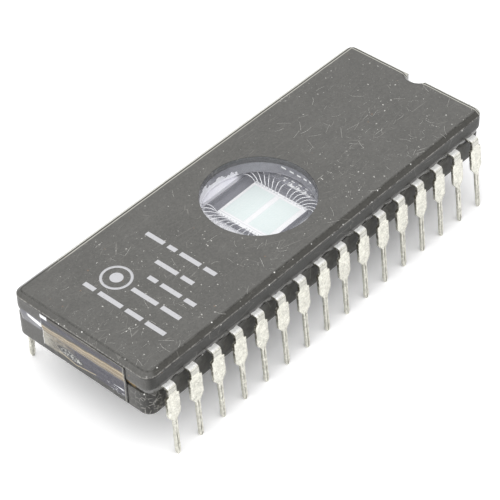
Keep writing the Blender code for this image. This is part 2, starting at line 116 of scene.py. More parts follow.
# Die, in the frame of its own top face
DIE_TURN = math.radians(0.8)
DIE_PLACE = Matrix.Translation((0.65 * MM, 0.26 * MM, DIE_HIGH.z)) @ Matrix.Rotation(DIE_TURN, 4, "Z")
DIE_HALF_X = 2.60 * MM
PAD_MIDDLE = 0.42 * MM          # first pad from the die's middle line

FILM_GAP = 0.012 * MM           # film to the end faces that it lies on
STROKE_CURLS = (0.02, 0.10, -0.06, 0.28, -0.18)
CM2_IN_M2 = 10000.0             # square centimetres in a square metre
WHITE = (1, 1, 1)
NOISE_LOW, NOISE_HIGH = 0.3, 0.7        # nearly all of a noise texture lies between these


# Sizes and colours

def measure(name, text, default, least=0.0):
    """A length that is given in millimetres and kept in metres."""
    return FloatProperty(name=name, description=text, default=default * MM, min=least * MM, unit="LENGTH")


def tint(name, text, *colour):
    return FloatVectorProperty(name=name, description=text, subtype="COLOR", size=4, min=0, max=1,
                               default=(*colour, 1))


class PlateSettings(bpy.types.PropertyGroup):
    """Shape and colour of the two ceramic plates."""

    lid_bevel: measure("Lid bevel", "Width of the bevel round the top of the lid", 0.42)
    bevel_drop: measure("Bevel height", "Height of the bevel round the top of the lid", 0.34)
    edge_round: measure("Edge rounding", "Radius on the edges of the bevel", 0.06)
    worn_width: measure("Worn width", "Width of the rubbed strip along an edge", 0.16, 0.01)
    seam_round: measure("Seam rounding", "Radius on the edges that face the seal glass", 0.14)
    foot_round: measure("Foot rounding", "Radius on the lower edge of the base", 0.16)
    chip_depth: measure("Chip depth", "Depth of the chips along the edges", 0.045)
    window_radius: measure("Window radius", "Radius of the round hole in the lid", LENS_HIGH.x / MM + 0.01)
    window_round: measure("Window edge", "Rounding on the upper edge of the hole", 0.06)
    # Painted light and shade: the top and the -X end get the paler colour and the sides the darker one, with a
    # painted shade on the bevel between them
    ceramic: tint("Ceramic", "Colour of the ceramic on the handled top", 0.118, 0.116, 0.109)
    shaded_side_ceramic: tint("Unworn ceramic", "Colour of the ceramic on the sides", 0.026, 0.0255, 0.023)
    rim: tint("Bevel", "Colour of the ceramic on the bevel", 0.058, 0.056, 0.050)
    pocket: tint("Cavity", "Colour of the ceramic in the die cavity", 0.24, 0.24, 0.265)
    scuffed: tint("Scuffed ceramic", "Colour of its rubbed edges and specks", 0.58, 0.56, 0.52)
    seal: tint("Seal glass", "Colour of the fired glass in the seam", 0.075, 0.072, 0.085)
    # Painted light: the glass under the window is painted near white where light falls on it
    painted_light_ledge: tint("Glass round the cavity", "Colour of the glass that shows under the window", 0.90, 0.89, 0.95)
    bead: tint("Run-out glass", "Colour of the glass that ran out along the seam", 0.125, 0.123, 0.118)


class LeadSettings(bpy.types.PropertyGroup):
    """Shape and colour of the leads and the wires on them."""

    rounding: measure("Edge rounding", "Radius on the edges of a lead under its solder", 0.035)
    coat: measure("Solder unevenness", "How far the solder stands proud in places", 0.022)
    step: measure("Mesh step", "Length of one step of the mesh along a lead", 0.12, 0.02)
    wire_radius: measure("Wire radius", "Radius of a bond wire", 0.035)
    wire_rise: measure("Wire rise", "Top of a wire's loop above its finger", 0.12)
    tin: tint("Tin", "Colour of the tinned surface", 0.78, 0.77, 0.70)
    tarnish: tint("Tarnish", "Colour of the dark spots on the pins", 0.078, 0.072, 0.050)
    wire: tint("Wire", "Colour of the bond wires and pads", 0.92, 0.92, 0.93)


class DieSettings(bpy.types.PropertyGroup):
    """Sizes and colours of the die's surface."""

    pad: measure("Pad", "Side of a bond pad", 0.11)
    pad_pitch: measure("Pad pitch", "Distance between two bond pads", 0.315)
    pad_inset: measure("Pad inset", "Pad row to the edge of the die", 0.17)
    ball: measure("Bond foot", "Length of the flattened end of a wire", 0.10)
    field: tint("Cell fields", "Colour of the two fields of memory cells", 0.83, 0.915, 0.89)
    border: tint("Border", "Colour of the metal tracks round the fields", 1.0, 1.0, 1.0)


class WindowSettings(bpy.types.PropertyGroup):
    """Shape and clearness of the window lens."""

    edge_round: measure("Edge rounding", "Radius on the lens's edges", 0.05)
    veil: FloatProperty(
        name="Veil", description="Share of the light that the glass keeps back", default=0.06,
        min=0, max=1, subtype="FACTOR")
    glass: tint("Glass", "Tint of the lens", 0.78, 0.79, 0.86)


class FilmSettings(bpy.types.PropertyGroup):
    """Shape and colour of the film over the plain end."""

    wrinkle: measure("Wrinkle", "Height of the wrinkles in the film", 0.05)
    thickness: measure("Thickness", "Thickness of the film", 0.04)
    film: tint("Film", "Colour of the film where it lies on the ceramic", 0.024, 0.023, 0.038)


class MarkSettings(bpy.types.PropertyGroup):
    """Plain marks printed on the lid."""

    height: measure("Height", "Height of a printed bar", 0.44)
    badge: measure("Ring radius", "Radius of the printed ring", 1.25)
    stroke: measure("Stroke", "Width of the ring's line", 0.24)
    ink_thickness: measure("Ink thickness", "Height of the ink above the lid", 0.008)
    ink: tint("Ink", "Colour of the ink", 0.56, 0.56, 0.58)


class WearSettings(bpy.types.PropertyGroup):
    """Scuffs and specks on the lid."""

    scuffs: IntProperty(name="Scuffs", description="Scuff lines in a square centimetre", default=115, min=0)
    specks: IntProperty(name="Specks", description="Specks in a square centimetre", default=115, min=0)
    shortest: measure("Shortest scuff", "Length of the shortest scuff", 0.09)
    longest: measure("Longest scuff", "Length of the longest scuff", 1.25)
    seed: IntProperty(name="Seed", description="Number that sets where the wear falls", default=11, min=0)
    rub: tint("Rubbed metal", "Colour of the scuffs", 0.78, 0.77, 0.73)


class StageSettings(bpy.types.PropertyGroup):
    """Floor and light."""

    floor: tint("Floor", "Colour of the floor", 0.92, 0.92, 0.925)
    floor_lift: FloatProperty(
        name="Floor lift", description="How much paler the floor looks to the camera than it is", default=0.30,
        min=0, max=1, subtype="FACTOR")
    ambient: FloatProperty(
        name="Room light", description="Strength of the light from all round", default=0.64, min=0)
    key: FloatProperty(
        name="Key light", description="Power of the large lamp", default=3.0, min=0, subtype="POWER")
    key_size: measure("Key size", "Side of the large lamp", 950)


# Wiring of node trees

class Value:
    """An output in a node tree, so that sums with it are written as sums."""

    def __init__(self, make, socket):
        self.make = make
        self.socket = socket

    def __add__(self, other):
        return self.make.math("ADD", self, other)

    def __sub__(self, other):
        return self.make.math("SUBTRACT", self, other)

    def __mul__(self, other):
        return self.make.math("MULTIPLY", self, other)

    def __truediv__(self, other):
        return self.make.math("DIVIDE", self, other)

    def __abs__(self):
        return self.make.math("ABSOLUTE", self)

    def __or__(self, other):
        """The larger of the two."""
        return self.make.math("MAXIMUM", self, other)

    def spread(self, low, high, start=0.0, end=1.0):
        """Runs from start to end while this value runs from low to high, and is held beyond them."""
        return self.make.out("ShaderNodeMapRange", self, low, high, start, end)

    def levels(self, start, end):
        """A noise turned into the range from start to end."""
        return self.spread(NOISE_LOW, NOISE_HIGH, start, end)

    def inside(self, low, high, soft=0.02):
        """1 between two limits, and 0 beyond them."""
        return self.spread(low - soft, low + soft) * self.spread(high - soft, high + soft, 1, 0)


class Wiring:
    """A node tree being wired. Lower-case words set a node's own settings, and words with a capital set its
    sockets, with _ for a space."""

    def __init__(self, tree):
        self.tree = tree
        self.column = 0

    def feed(self, socket, value):
        if isinstance(value, Value):
            self.tree.links.new(value.socket, socket)
        elif socket.type == "RGBA":
            socket.default_value = (*value[:3], 1)
        elif socket.type == "VECTOR":
            socket.default_value = value[:3]
        else:
            socket.default_value = value

    def node(self, kind, *values, **words):
        made = self.tree.nodes.new(kind)
        self.column += 1
        made.location = (180 * (self.column // 4), -220 * (self.column % 4))
        for word, value in words.items():
            if word[0].islower():
                setattr(made, word, value)
        for word, value in words.items():
            if not word[0].islower():
                self.feed(made.inputs[word.replace("_", " ")], value)
        for place, value in enumerate(values):
            self.feed(made.inputs[place], value)
        return made

    def out(self, kind, *values, pick=0, **words):
        """One output of a new node."""
        return Value(self, self.node(kind, *values, **words).outputs[pick])

    def math(self, operation, *values):
        return self.out("ShaderNodeMath", *values, operation=operation)

    def axes(self, place):
        return [Value(self, part) for part in self.node("ShaderNodeSeparateXYZ", place).outputs]

    def far(self, x, y):
        """Distance from the middle."""
        return self.math("SQRT", x * x + y * y)


class Finish(Wiring):
    """A material for the package, with short calls for the textures that it is made of."""

    def __init__(self, name, **sockets):
        self.material = bpy.data.materials.new(name)
        self.material.use_nodes = True
        super().__init__(self.material.node_tree)
        self.shader = self.tree.nodes["Principled BSDF"]
        self.shader.location = (1800, 0)
        self.tree.nodes["Material Output"].location = (2100, 0)
        place = self.out("ShaderNodeTexCoord", pick="Object")
        self.place = self.out("ShaderNodeVectorMath", operation="SCALE", Vector=place, Scale=1 / MM)
        for word, value in sockets.items():
            self.set(word.replace("_", " "), value)

    def set(self, word, value):
        self.feed(self.shader.inputs[word], value)

    def axes(self, place=None):
        return super().axes(place or self.place)

    def grain(self, scale, detail=3.0, rough=0.55, place=None, distortion=0.0):
        return self.out("ShaderNodeTexNoise", pick="Fac", Vector=place or self.place, Scale=scale, Detail=detail,
                        Roughness=rough, Distortion=distortion)

    def cells(self, scale, feature="F1", place=None):
        return self.out("ShaderNodeTexVoronoi", pick="Distance", feature=feature, Vector=place or self.place,
                        Scale=scale)

    def speckle(self, scale):
        """A random number from 0 to 1 for each small cell."""
        colour = self.out("ShaderNodeTexVoronoi", pick="Color", Vector=self.place, Scale=scale)
        return self.out("ShaderNodeSeparateColor", colour)

    def marked(self, name):
        """A number that was stored on the mesh."""
        return self.out("ShaderNodeAttribute", pick="Fac", attribute_name=name)

    def shade(self, colour, factor):
        """A colour made darker or lighter by a factor."""
        return self.out("ShaderNodeVectorMath", operation="SCALE", Vector=colour, Scale=factor)

    def ramp(self, value, *stops):
        """Colours along a value from 0 to 1; each stop is a place and a colour."""
        made = self.node("ShaderNodeValToRGB", value)
        marks = made.color_ramp.elements
        for place, (at, colour) in enumerate(stops):
            mark = marks[place] if place < 2 else marks.new(at)
            mark.position = at
            mark.color = (*colour, 1)
        return Value(self, made.outputs["Color"])

    def mix(self, share, first, second):
        made = self.node("ShaderNodeMix", share, data_type="RGBA")
        self.feed(made.inputs[6], first)
        self.feed(made.inputs[7], second)
        return Value(self, made.outputs[2])

    def stretched(self, stretch, turn=0, place=None):
        """Places turned about the upright axis and squeezed or stretched, for lines in one direction."""
        return self.out("ShaderNodeMapping", Vector=place or self.place, Rotation=(0, 0, math.radians(turn)),
                        Scale=stretch)

    def bump(self, height, distance, strength=1.0):
        """Relief of the surface; distance is in millimetres."""
        self.set("Normal", self.out("ShaderNodeBump", Height=height, Distance=distance * MM, Strength=strength))


class Recipe(Wiring):
    """A geometry tree with named inputs. It ends in Realize Instances and Set Material."""

    def __init__(self, name, sizes, finish):
        super().__init__(bpy.data.node_groups.new(name, "GeometryNodeTree"))
        self.finish = finish
        self.tree.interface.new_socket("Geometry", in_out="INPUT", socket_type="NodeSocketGeometry")
        self.tree.interface.new_socket("Geometry", in_out="OUTPUT", socket_type="NodeSocketGeometry")
        for size, value in sizes.items():
            kind = "NodeSocketInt" if isinstance(value, int) else "NodeSocketFloat"
            self.tree.interface.new_socket(size, in_out="INPUT", socket_type=kind)
        self.sizes = sizes
        self.source = self.node("NodeGroupInput").outputs

    def __getitem__(self, name):
        """One of the tree's inputs; 0 is the mesh."""
        return Value(self, self.source[name])

    def vector(self, x=0.0, y=0.0, z=0.0):
        return self.out("ShaderNodeCombineXYZ", x, y, z)

    def random(self, low, high, seed, kind="FLOAT"):
        made = self.node("FunctionNodeRandomValue", data_type=kind)
        ends = {"FLOAT": (2, 3), "INT": (4, 5)}[kind]
        self.feed(made.inputs[ends[0]], low)
        self.feed(made.inputs[ends[1]], high)
        self.feed(made.inputs["Seed"], seed)
        return Value(self, [out for out in made.outputs if out.enabled][0])

    def join(self, *parts):
        made = self.node("GeometryNodeJoinGeometry")
        for part in parts:
            self.feed(made.inputs[0], part)
        return Value(self, made.outputs[0])

    def number(self, name):
        """A number that was stored on the mesh."""
        return self.out("GeometryNodeInputNamedAttribute", data_type="FLOAT", Name=name)

    def place(self, points, shape, **words):
        """A copy of the shape at each point."""
        return self.out("GeometryNodeInstanceOnPoints", Points=points, Instance=shape, **words)

    def grow(self, name, mesh, geometry):
        """Closes the tree on this geometry, runs it on the mesh and returns a plain mesh object."""
        real = self.out("GeometryNodeRealizeInstances", geometry)
        self.node("NodeGroupOutput", self.out("GeometryNodeSetMaterial", real, Material=self.finish))
        piece = bpy.data.objects.new(name, mesh)
        bpy.context.scene.collection.objects.link(piece)
        modifier = piece.modifiers.new(name, "NODES")
        modifier.node_group = self.tree
        for item in self.tree.interface.items_tree:
            if item.in_out == "INPUT" and item.name in self.sizes:
                modifier[item.identifier] = self.sizes[item.name]
        bpy.context.view_layer.update()
        grown = piece.evaluated_get(bpy.context.evaluated_depsgraph_get())
        result = bpy.data.meshes.new_from_object(grown)
        piece.modifiers.remove(modifier)
        piece.data = result
        result.name = name
        if not result.polygons:
            raise RuntimeError(f"{name} came out empty")
        return piece


# Shared shapes

def stand(name, data):
    """An object in the scene that holds this mesh, lamp or camera."""
    made = bpy.data.objects.new(name, data)
    bpy.context.scene.collection.objects.link(made)
    return made


def as_mesh(name, shape):
    mesh = bpy.data.meshes.new(name)
    shape.to_mesh(mesh)
    shape.free()
    return mesh


def smooth(piece, angle=40):
    piece.data.shade_smooth()
    piece.data.set_sharp_from_angle(angle=math.radians(angle))


def add_piece(name, shape, finish, slot, *stands_for, angle=40):
    """Puts a finished shape in the scene as a piece of the package."""
    bmesh.ops.recalc_face_normals(shape, faces=shape.faces)
    piece = stand(name, as_mesh(name, shape))
    piece.data.materials.append(finish)
    smooth(piece, angle)
    settle(piece, slot, *stands_for)


def settle(piece, slot, *stands_for):
    """Ties a piece to the body and hides the parts that it stands for; slot is not used."""
    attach(piece, BODY)
    if stands_for:
        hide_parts(*stands_for)


def points_mesh(name, places, **values):
    """A mesh of loose points, with a number for each point under each name."""
    mesh = bpy.data.meshes.new(name)
    mesh.from_pydata([tuple(place) for place in places], [], [])
    for word, numbers in values.items():
        layer = mesh.attributes.new(word, "FLOAT", "POINT")
        layer.data.foreach_set("value", [float(number) for number in numbers])
    return mesh


def dress(node, finish):
    """Gives a CAD node its finish."""
    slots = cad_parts[node].data.materials
    if not slots:
        slots.append(finish)
    for place in range(len(slots)):
        slots[place] = finish


def held(value):
    """The value, kept between 0 and 1."""
    return min(1.0, max(0.0, value))


def run(first, last, count):
    """Points along a straight line, without its last."""
    return [tuple(start + (end - start) * step / count for start, end in zip(first, last))
            for step in range(count)]


def sweep(centre, radius, first, last, count):
    """Points along an arc, without its last."""
    angles = [first + (last - first) * step / count for step in range(count)]
    return [(centre[0] + radius * math.cos(angle), centre[1] + radius * math.sin(angle)) for angle in angles]


def plate_ring(plate, inset):
    """Outline of a plate drawn in by inset. Every outline of a plate has the same number of points."""
    half_x, half_y, corner = plate.half_x - inset, plate.half_y - inset, plate.corner - inset
    radius = plate.notch_radius + inset
    mouth = math.acos((plate.notch_x - half_x) / radius)
    gap = radius * math.sin(mouth)
    side_x, side_y = half_x - corner, half_y - corner
    points = run((-side_x, -half_y), (side_x, -half_y), LONG_STEPS)
    points += sweep((side_x, -side_y), corner, -QUARTER, 0, CORNER_STEPS)
    notch_y = plate.notch_y - plate.shift
    points += run((half_x, -side_y), (half_x, notch_y - gap), SHORT_STEPS // 2)
    points += sweep((plate.notch_x, notch_y), radius, mouth - math.pi, -mouth - math.pi, NOTCH_STEPS)
    points += run((half_x, notch_y + gap), (half_x, side_y), SHORT_STEPS // 2)
    points += sweep((side_x, side_y), corner, 0, QUARTER, CORNER_STEPS)
    points += run((side_x, half_y), (-side_x, half_y), LONG_STEPS)
    points += sweep((-side_x, side_y), corner, QUARTER, 2 * QUARTER, CORNER_STEPS)
    points += run((-half_x, side_y), (-half_x, -side_y), SHORT_STEPS)
    points += sweep((-side_x, -side_y), corner, 2 * QUARTER, 3 * QUARTER, CORNER_STEPS)
    return [(x, y + plate.shift) for x, y in points]


def rounded(path, radius, steps=4):
    """A path of (inset, height) points with its inner corners rounded."""
    made = [path[0]]
    for before, corner, after in zip(path, path[1:], path[2:]):
        corner = Vector(corner)
        back, ahead = Vector(before) - corner, Vector(after) - corner
        reach = min(radius, back.length * 0.49, ahead.length * 0.49)
        start, end = corner + back.normalized() * reach, corner + ahead.normalized() * reach
        for step in range(steps + 1):
            share = step / steps
            made.append(tuple(start.lerp(corner, share).lerp(corner.lerp(end, share), share)))
    return made + [path[-1]]


def banded(profile, width):
    """The same profile with a point near each end of its long runs, where the rubbed strip ends."""
    made = []
    for first, last in zip(profile, profile[1:]):
        made.append(first)
        span = Vector(last) - Vector(first)
        if span.length > 2.2 * width:
            near = span.normalized() * width
            made += [tuple(Vector(first) + near), tuple(Vector(last) - near)]
    return made + [profile[-1]]


def join_rings(shape, rings):
    """Faces between outlines that follow each other."""
    for lower, upper in zip(rings, rings[1:]):
        for place in range(len(lower)):
            after = (place + 1) % len(lower)
            shape.faces.new((lower[place], lower[after], upper[after], upper[place]))


def fill_between(shape, *rings):
    """Flat face inside the first ring, with the second left open."""
    edges = []
    for ring in rings:
        for pair in zip(ring, ring[1:] + ring[:1]):
            edges.append(shape.edges.get(pair) or shape.edges.new(pair))
    bmesh.ops.triangle_fill(shape, use_beauty=True, edges=edges)


def chip_edges(ring, inset_way, depth, seed):
    """Knocks small chips out of a ring, in the way that leads into the plate."""
    for vert, way in zip(ring, inset_way):
        place = vert.co / MM
        hit = noise.noise(place * 2.6 + Vector((seed, 0, 0)))
        hit += 0.6 * noise.noise(place * 6.1 + Vector((0, seed, 0)))
        small = 0.25 * noise.noise(place * 9.0 + Vector((0, 0, seed)))
        vert.co += way * depth * (max(0.0, hit - 0.45) * 2.6 + max(0.0, small))


def plate_shell(shape, plate, path, profile, settings, seed):
    """Outer wall of a plate from its lower rim to its upper rim, with chipped edges that are marked as worn."""
    worn = shape.verts.layers.float.new("worn")
    corners = [Vector(corner) for corner in path[1:-1]]
    rings = []
    for inset, height in banded(profile, settings.worn_width):
        ring = [shape.verts.new((x, y, height)) for x, y in plate_ring(plate, inset)]
        near = min((Vector((inset, height)) - corner).length for corner in corners)
        for vert in ring:
            vert[worn] = max(0.0, 1 - near / settings.worn_width)
        rings.append(ring)
    reach = 1.5 * MM            # chips within this of a plate's end go inwards from both of its faces
    ways = [Vector((-math.copysign(1, x) if abs(x) > plate.half_x - reach else 0,
                    -math.copysign(1, y) if abs(y) > plate.half_y - reach else 0, 0)).normalized()
            for x, y in plate_ring(plate, 0)]
    for ring in rings[2:-1]:
        if ring[0][worn] > 0:
            chip_edges(ring, ways, settings.chip_depth, seed)
    join_rings(shape, rings)
    return rings


# Finishes

def ceramic_finish(settings):
    """Fired ceramic: painted paler on the top and the -X end and darker on the sides and the bevel, as light
    falls on them;
    glossier along its edges, and rubbed pale there in patches that also stand in for glints.
    """
    make = Finish("fired ceramic", IOR=1.5, Specular_IOR_Level=0.32)
    x, y, z = make.axes()
    fine = make.grain(9, 5, 0.75)
    # Painted light and shade: paler on the top and the -X end, darker on the sides, a painted shade on the bevel
    # band except near the -X end, and the hole's wall painted paler
    top = z.spread(9.20, 9.245)
    end = x.spread(-20.5, -20.85) * 0.75
    body = make.mix(top | end, settings.shaded_side_ceramic, settings.ceramic)
    hole = make.far(x, y).spread(5.1, 5.0) * z.spread(9.22, 9.18)
    band = z.inside(8.93, 9.21, 0.015)
    body = make.mix((band - hole) | 0.0, body, settings.rim)
    body = make.mix(x.spread(-20.0, -20.4, 0, 0.6) * band, body, settings.ceramic)
    body = make.mix(hole, body, (0.135, 0.135, 0.14))
    tone = make.speckle(7.5).spread(0, 1, 0.89, 1.11) * fine.levels(0.92, 1.08)
    tone = tone * make.grain(0.32, 4, 0.6).levels(0.93, 1.07)
    grey = make.shade(body, tone)
    # The cavity, painted paler where light comes in beside the die
    pocket = x.inside(-4.15, 4.15) * y.inside(-4.25, 4.25) * z.spread(7.0, 6.9)
    painted_light_by_die = x.spread(-2.02, -2.28) | y.spread(-2.70, -2.84)
    grey = make.mix(pocket, grey, make.mix(painted_light_by_die, settings.pocket, (0.90, 0.90, 0.92)))
    # The base's long walls, mottled and painted paler to make up for the shade between the leads
    wall = abs(y).spread(7.1, 7.2) * z.spread(6.95, 6.85)
    mottled_and_lit = make.mix(make.grain(2.2, 4, 0.7).spread(0.35, 0.65), (0.050, 0.049, 0.044), (0.115, 0.113, 0.105))
    grey = make.mix(wall * 0.85, grey, mottled_and_lit)
    # Dust, rust dots and fine scratches in three directions
    dust = make.cells(3.4).spread(0.05, 0.085, 1, 0) * make.grain(0.6, 2).spread(0.52, 0.66)
    grey = make.mix(dust * 0.5, grey, settings.scuffed)
    grey = make.mix(make.cells(0.6).spread(0.025, 0.06, 0.5, 0), grey, (0.32, 0.19, 0.11))
    streaks = []
    for turn, scale in ((25, 1.1), (-50, 0.8), (80, 1.3)):
        streak = make.cells(scale, "DISTANCE_TO_EDGE", make.stretched((0.16, 1.0, 0.4), turn))
        streaks.append(streak.spread(0.002, 0.008, 1, 0) * make.grain(0.5 * scale, 2).spread(0.54, 0.64))
    lines = streaks[0] | streaks[1] | streaks[2]
    grey = make.mix(lines * 0.20, grey, settings.scuffed)
    # Edges: painted shade just under the top edge, rubbed pale in places that also stand in for glints, darker
    # at the base's near corner, and cracked at one corner
    worn = make.marked("worn")
    brink = worn.spread(0.45, 0.8) * z.spread(9.12, 9.19)
    grey = make.mix(brink * 0.75, grey, (0.016, 0.016, 0.013))
    rubbed = worn.spread(0.55, 0.88) * make.grain(4.5, 4, 0.75).spread(0.40, 0.58)
    rubbed = rubbed * z.spread(9.05, 9.15, 1, 0.25)
    corner = x.spread(-18.6, -19.8) * y.spread(-4.9, -6.4) * z.spread(6.95, 6.7)
    grey = make.mix(corner * 0.6, grey, (0.014, 0.014, 0.012))
    cracks = make.cells(1.9, "DISTANCE_TO_EDGE").spread(0.02, 0.07, 1, 0)
    rubbed = rubbed | corner * (cracks * make.grain(2.2, 3).spread(0.42, 0.56))
    grey = make.mix(rubbed * 0.48, grey, settings.scuffed)
    # Painted highlight along the far edges, with a painted dark line inside it
    beyond = ((x - 20.53) | (y - 7.03)) - make.grain(0.8, 2).spread(0, 1, -0.03, 0.03)
    bright = beyond.inside(-0.27, -0.19) | beyond.spread(-0.05, -0.02)
    bright = bright * z.spread(8.9, 8.95, 0, 0.75) * x.spread(-18.0, -15.0)
    grey = make.mix(bright, grey, (0.66, 0.65, 0.58))
    grey = make.mix(beyond.inside(-0.15, -0.09) * 0.6, grey, (0.03, 0.03, 0.028))
    # Pale chips along the worn edges, which also stand in for painted glints
    chips = make.cells(1.6).spread(0.08, 0.13, 1, 0) * worn.spread(0.2, 0.5)
    make.set("Base Color", make.mix(chips, grey, (0.86, 0.85, 0.82)))
    smooth_band = worn.spread(0.05, 0.3) | z.inside(8.90, 9.23)
    make.set("Roughness", make.grain(6, 3).levels(0.32, 0.46) * smooth_band.spread(0, 1, 1.0, 0.42))
    make.bump(fine * 0.6 + lines * -0.5 + rubbed * -0.6, 0.012, 0.5)
    return make.material


def seal_finish(settings):
    """Seal glass: dark in the seam; where it lies open under the window, painted near white as light, with
    painted grey shade towards +X and a painted glint line along the finger tips.
    """
    make = Finish("seal glass", Specular_IOR_Level=0.6)
    x, y, z = make.axes()
    swirl = make.grain(1.6, 4, 0.6, distortion=0.6)
    dark = make.mix(swirl.spread(0.3, 0.75), settings.seal, (0.15, 0.145, 0.16))
    # Under the window: painted light, with painted shade towards +X
    pale = make.mix(swirl.spread(0.35, 0.7), settings.painted_light_ledge, (0.97, 0.97, 1.0))
    far_painted_shade = (x + y * -0.6).spread(1.4, 3.4) * 0.6 | x.spread(2.0, 2.7)
    pale = make.mix(far_painted_shade, pale, (0.26, 0.26, 0.29))
    body = make.mix(make.far(x, y).spread(5.3, 5.8, 1, 0), dark, pale)
    body = make.mix(make.cells(5.5).spread(0.10, 0.16, 0.35, 0), body, (0.42, 0.41, 0.45))
    # A painted glint line along the finger tips
    painted_glint_line = x.inside(4.12, 4.36) * y.inside(-1.95, 0.55)
    make.set("Base Color", make.mix(painted_glint_line * z.spread(7.19, 7.22), body, WHITE))
    make.set("Roughness", make.grain(3.5, 2).levels(0.10, 0.28))
    make.bump(swirl + make.cells(4.0) * 0.3, 0.03, 0.35)
    return make.material


def bead_finish(settings):
    """Run-out glass: painted shade low down and painted light above, with pale spots that are painted glints;
    beside the end film, a painted shadow line and a painted white reflection.
    """
    make = Finish("run-out glass", Specular_IOR_Level=0.35, Coat_Weight=0.1, Coat_Roughness=0.05)
    x, y, z = make.axes()
    swirl = make.grain(2.4, 4, 0.65)
    # Painted shade low down and painted light above
    low = make.mix(swirl.spread(0.35, 0.7), (0.045, 0.044, 0.040), (0.105, 0.103, 0.097))
    high = make.shade(settings.bead, swirl.levels(0.75, 1.25))
    edge = z + swirl.levels(-0.07, 0.07)
    body = make.mix(edge.spread(7.08, 7.24), low, high)
    # Pale spots, painted glints
    body = make.mix(make.cells(2.2).spread(0.06, 0.11, 0.7, 0), body, (0.55, 0.55, 0.53))
    # Beside the end film: a painted shadow line and a painted white reflection
    end = x.spread(-20.0, -20.3)
    painted_shadow_slit = z - y.spread(5.37, 6.37, 6.71, 7.31)
    end_glass_and_painted_light = make.mix(painted_shadow_slit.spread(-0.02, 0.02), (0.11, 0.11, 0.125), (0.17, 0.17, 0.19))
    end_glass_and_painted_light = make.mix(painted_shadow_slit.inside(-0.07, 0.05) * y.inside(5.35, 6.45, 0.08), end_glass_and_painted_light, (0.012, 0.012, 0.014))
    painted_white_reflection = z - y.spread(4.0, 5.9, 7.30, 7.66)
    wide = y.spread(4.1, 5.9, 0.25, 0.10)
    painted_white_reflection = make.math("LESS_THAN", abs(painted_white_reflection), wide) * y.spread(5.9, 5.6)
    end_glass_and_painted_light = make.mix(painted_white_reflection, end_glass_and_painted_light, WHITE)
    body = make.mix(end * y.inside(3.9, 6.6, 0.15), body, end_glass_and_painted_light)
    smear = y.inside(-6.1, -4.9, 0.15) * swirl.spread(0.40, 0.52)
    make.set("Base Color", make.mix(end * smear, body, (0.24, 0.17, 0.08)))
    make.set("Roughness", swirl.levels(0.06, 0.18))
    make.bump(swirl, 0.02, 0.5)
    return make.material


def tin_finish(settings):
    """Tinned lead: uneven solder with tarnish on the pins and cut edges, painted shade across the bend and
    painted light on its flat top, and clean metal inside the package, painted white or grey as light falls on
    it, with painted glints.
    """
    make = Finish("tinned lead")
    x, y, z = make.axes()
    fine = make.grain(9, 4, 0.7)
    patch = make.grain(2.4, 3, 0.6)
    tone = make.speckle(7.0).spread(0, 1, 0.84, 1.10) * patch.levels(0.82, 1.12)
    tin = make.shade(make.mix(fine.spread(0.35, 0.65), (0.66, 0.65, 0.57), settings.tin), tone)
    # Painted shade across the bend, with dark crease lines at its two ends
    wobble = z + patch.spread(0, 1, -0.03, 0.03)
    creases = wobble.inside(7.09, 7.13) | wobble.inside(6.70, 6.74)
    tin = make.mix(wobble.inside(6.74, 7.10, 0.03) * 0.38, tin, (0.30, 0.30, 0.29))
    tin = make.mix(creases * 0.75, tin, (0.16, 0.16, 0.15))
    # Tarnish: spots and seams on the pins, and along the cut edges
    pin = z.spread(4.0, 3.7)
    spots = make.grain(5.0, 5, 0.8).spread(0.50, 0.60) * make.grain(1.1, 2).spread(0.42, 0.56)
    threads = make.grain(6, 4, 0.7, make.stretched((1, 1, 0.18)))
    middle = make.marked("middle") + threads.levels(-0.35, 0.35)
    seams = middle.spread(0.72, 0.95) * pin
    stains = spots * pin.spread(0, 1, 0.18, 0.35) | seams * 0.72
    cut = make.marked("cut").spread(0.35, 0.9) * make.grain(3.6, 4, 0.75).spread(0.36, 0.54)
    tarnish = stains | cut * z.spread(4.4, 5.4, 0.15, 0.95)
    # Painted light on the flat tops of the leads; behind the window the fingers are painted white at the -X end
    # where light falls and grey elsewhere, with painted glints near their tips and a painted highlight along
    # their tip ends
    inner = abs(y).spread(5.4, 5.2)
    pale = make.mix(x.spread(-2.7, -3.3), (0.30, 0.30, 0.33), (0.97, 0.97, 0.97))
    tin = make.mix(z.spread(7.22, 7.29), tin, (0.98, 0.98, 0.96))
    tin = make.mix(inner, tin, pale)
    along = make.marked("along")
    tip = along.inside(0.40, 0.53, 0.03) * patch.spread(0.38, 0.46)
    face = along.spread(0.26, 0.20) * y.inside(-1.95, 1.15)
    tin = make.mix((tip | face) * (x.spread(3.8, 4.0) * inner), tin, WHITE)
    make.set("Base Color", make.mix(tarnish, tin, settings.tarnish))
    make.set("Metallic", inner.spread(0, 1, 0.85, 0.3) * z.spread(7.14, 7.26, 1, 0.25))
    make.set("Roughness", patch.levels(0.20, 0.34) + tarnish * 0.3)
    relief = fine * 0.5 + patch * 0.8 - tarnish * 0.5
    make.bump(relief * z.spread(7.10, 7.25, 1, 0.35), 0.040, 0.9)
    return make.material


def wire_finish(settings):
    """Bond wires: bright over the die, and painted grey shade over the glass."""
    make = Finish("bond wire", Metallic=0.6)
    fine = make.grain(30, 2)
    x, y, _ = make.axes()
    bright = make.mix(fine.levels(0, 0.3), settings.wire, (0.8, 0.8, 0.82))
    # Painted grey shade where the wires lie over the glass
    over = x.spread(4.1, 4.3) | abs(y).spread(3.9, 4.3)
    make.set("Base Color", make.mix(over * 0.8, bright, (0.30, 0.30, 0.33)))
    make.set("Roughness", make.grain(14, 2).levels(0.18, 0.34))
    make.bump(fine, 0.002, 0.4)
    return make.material


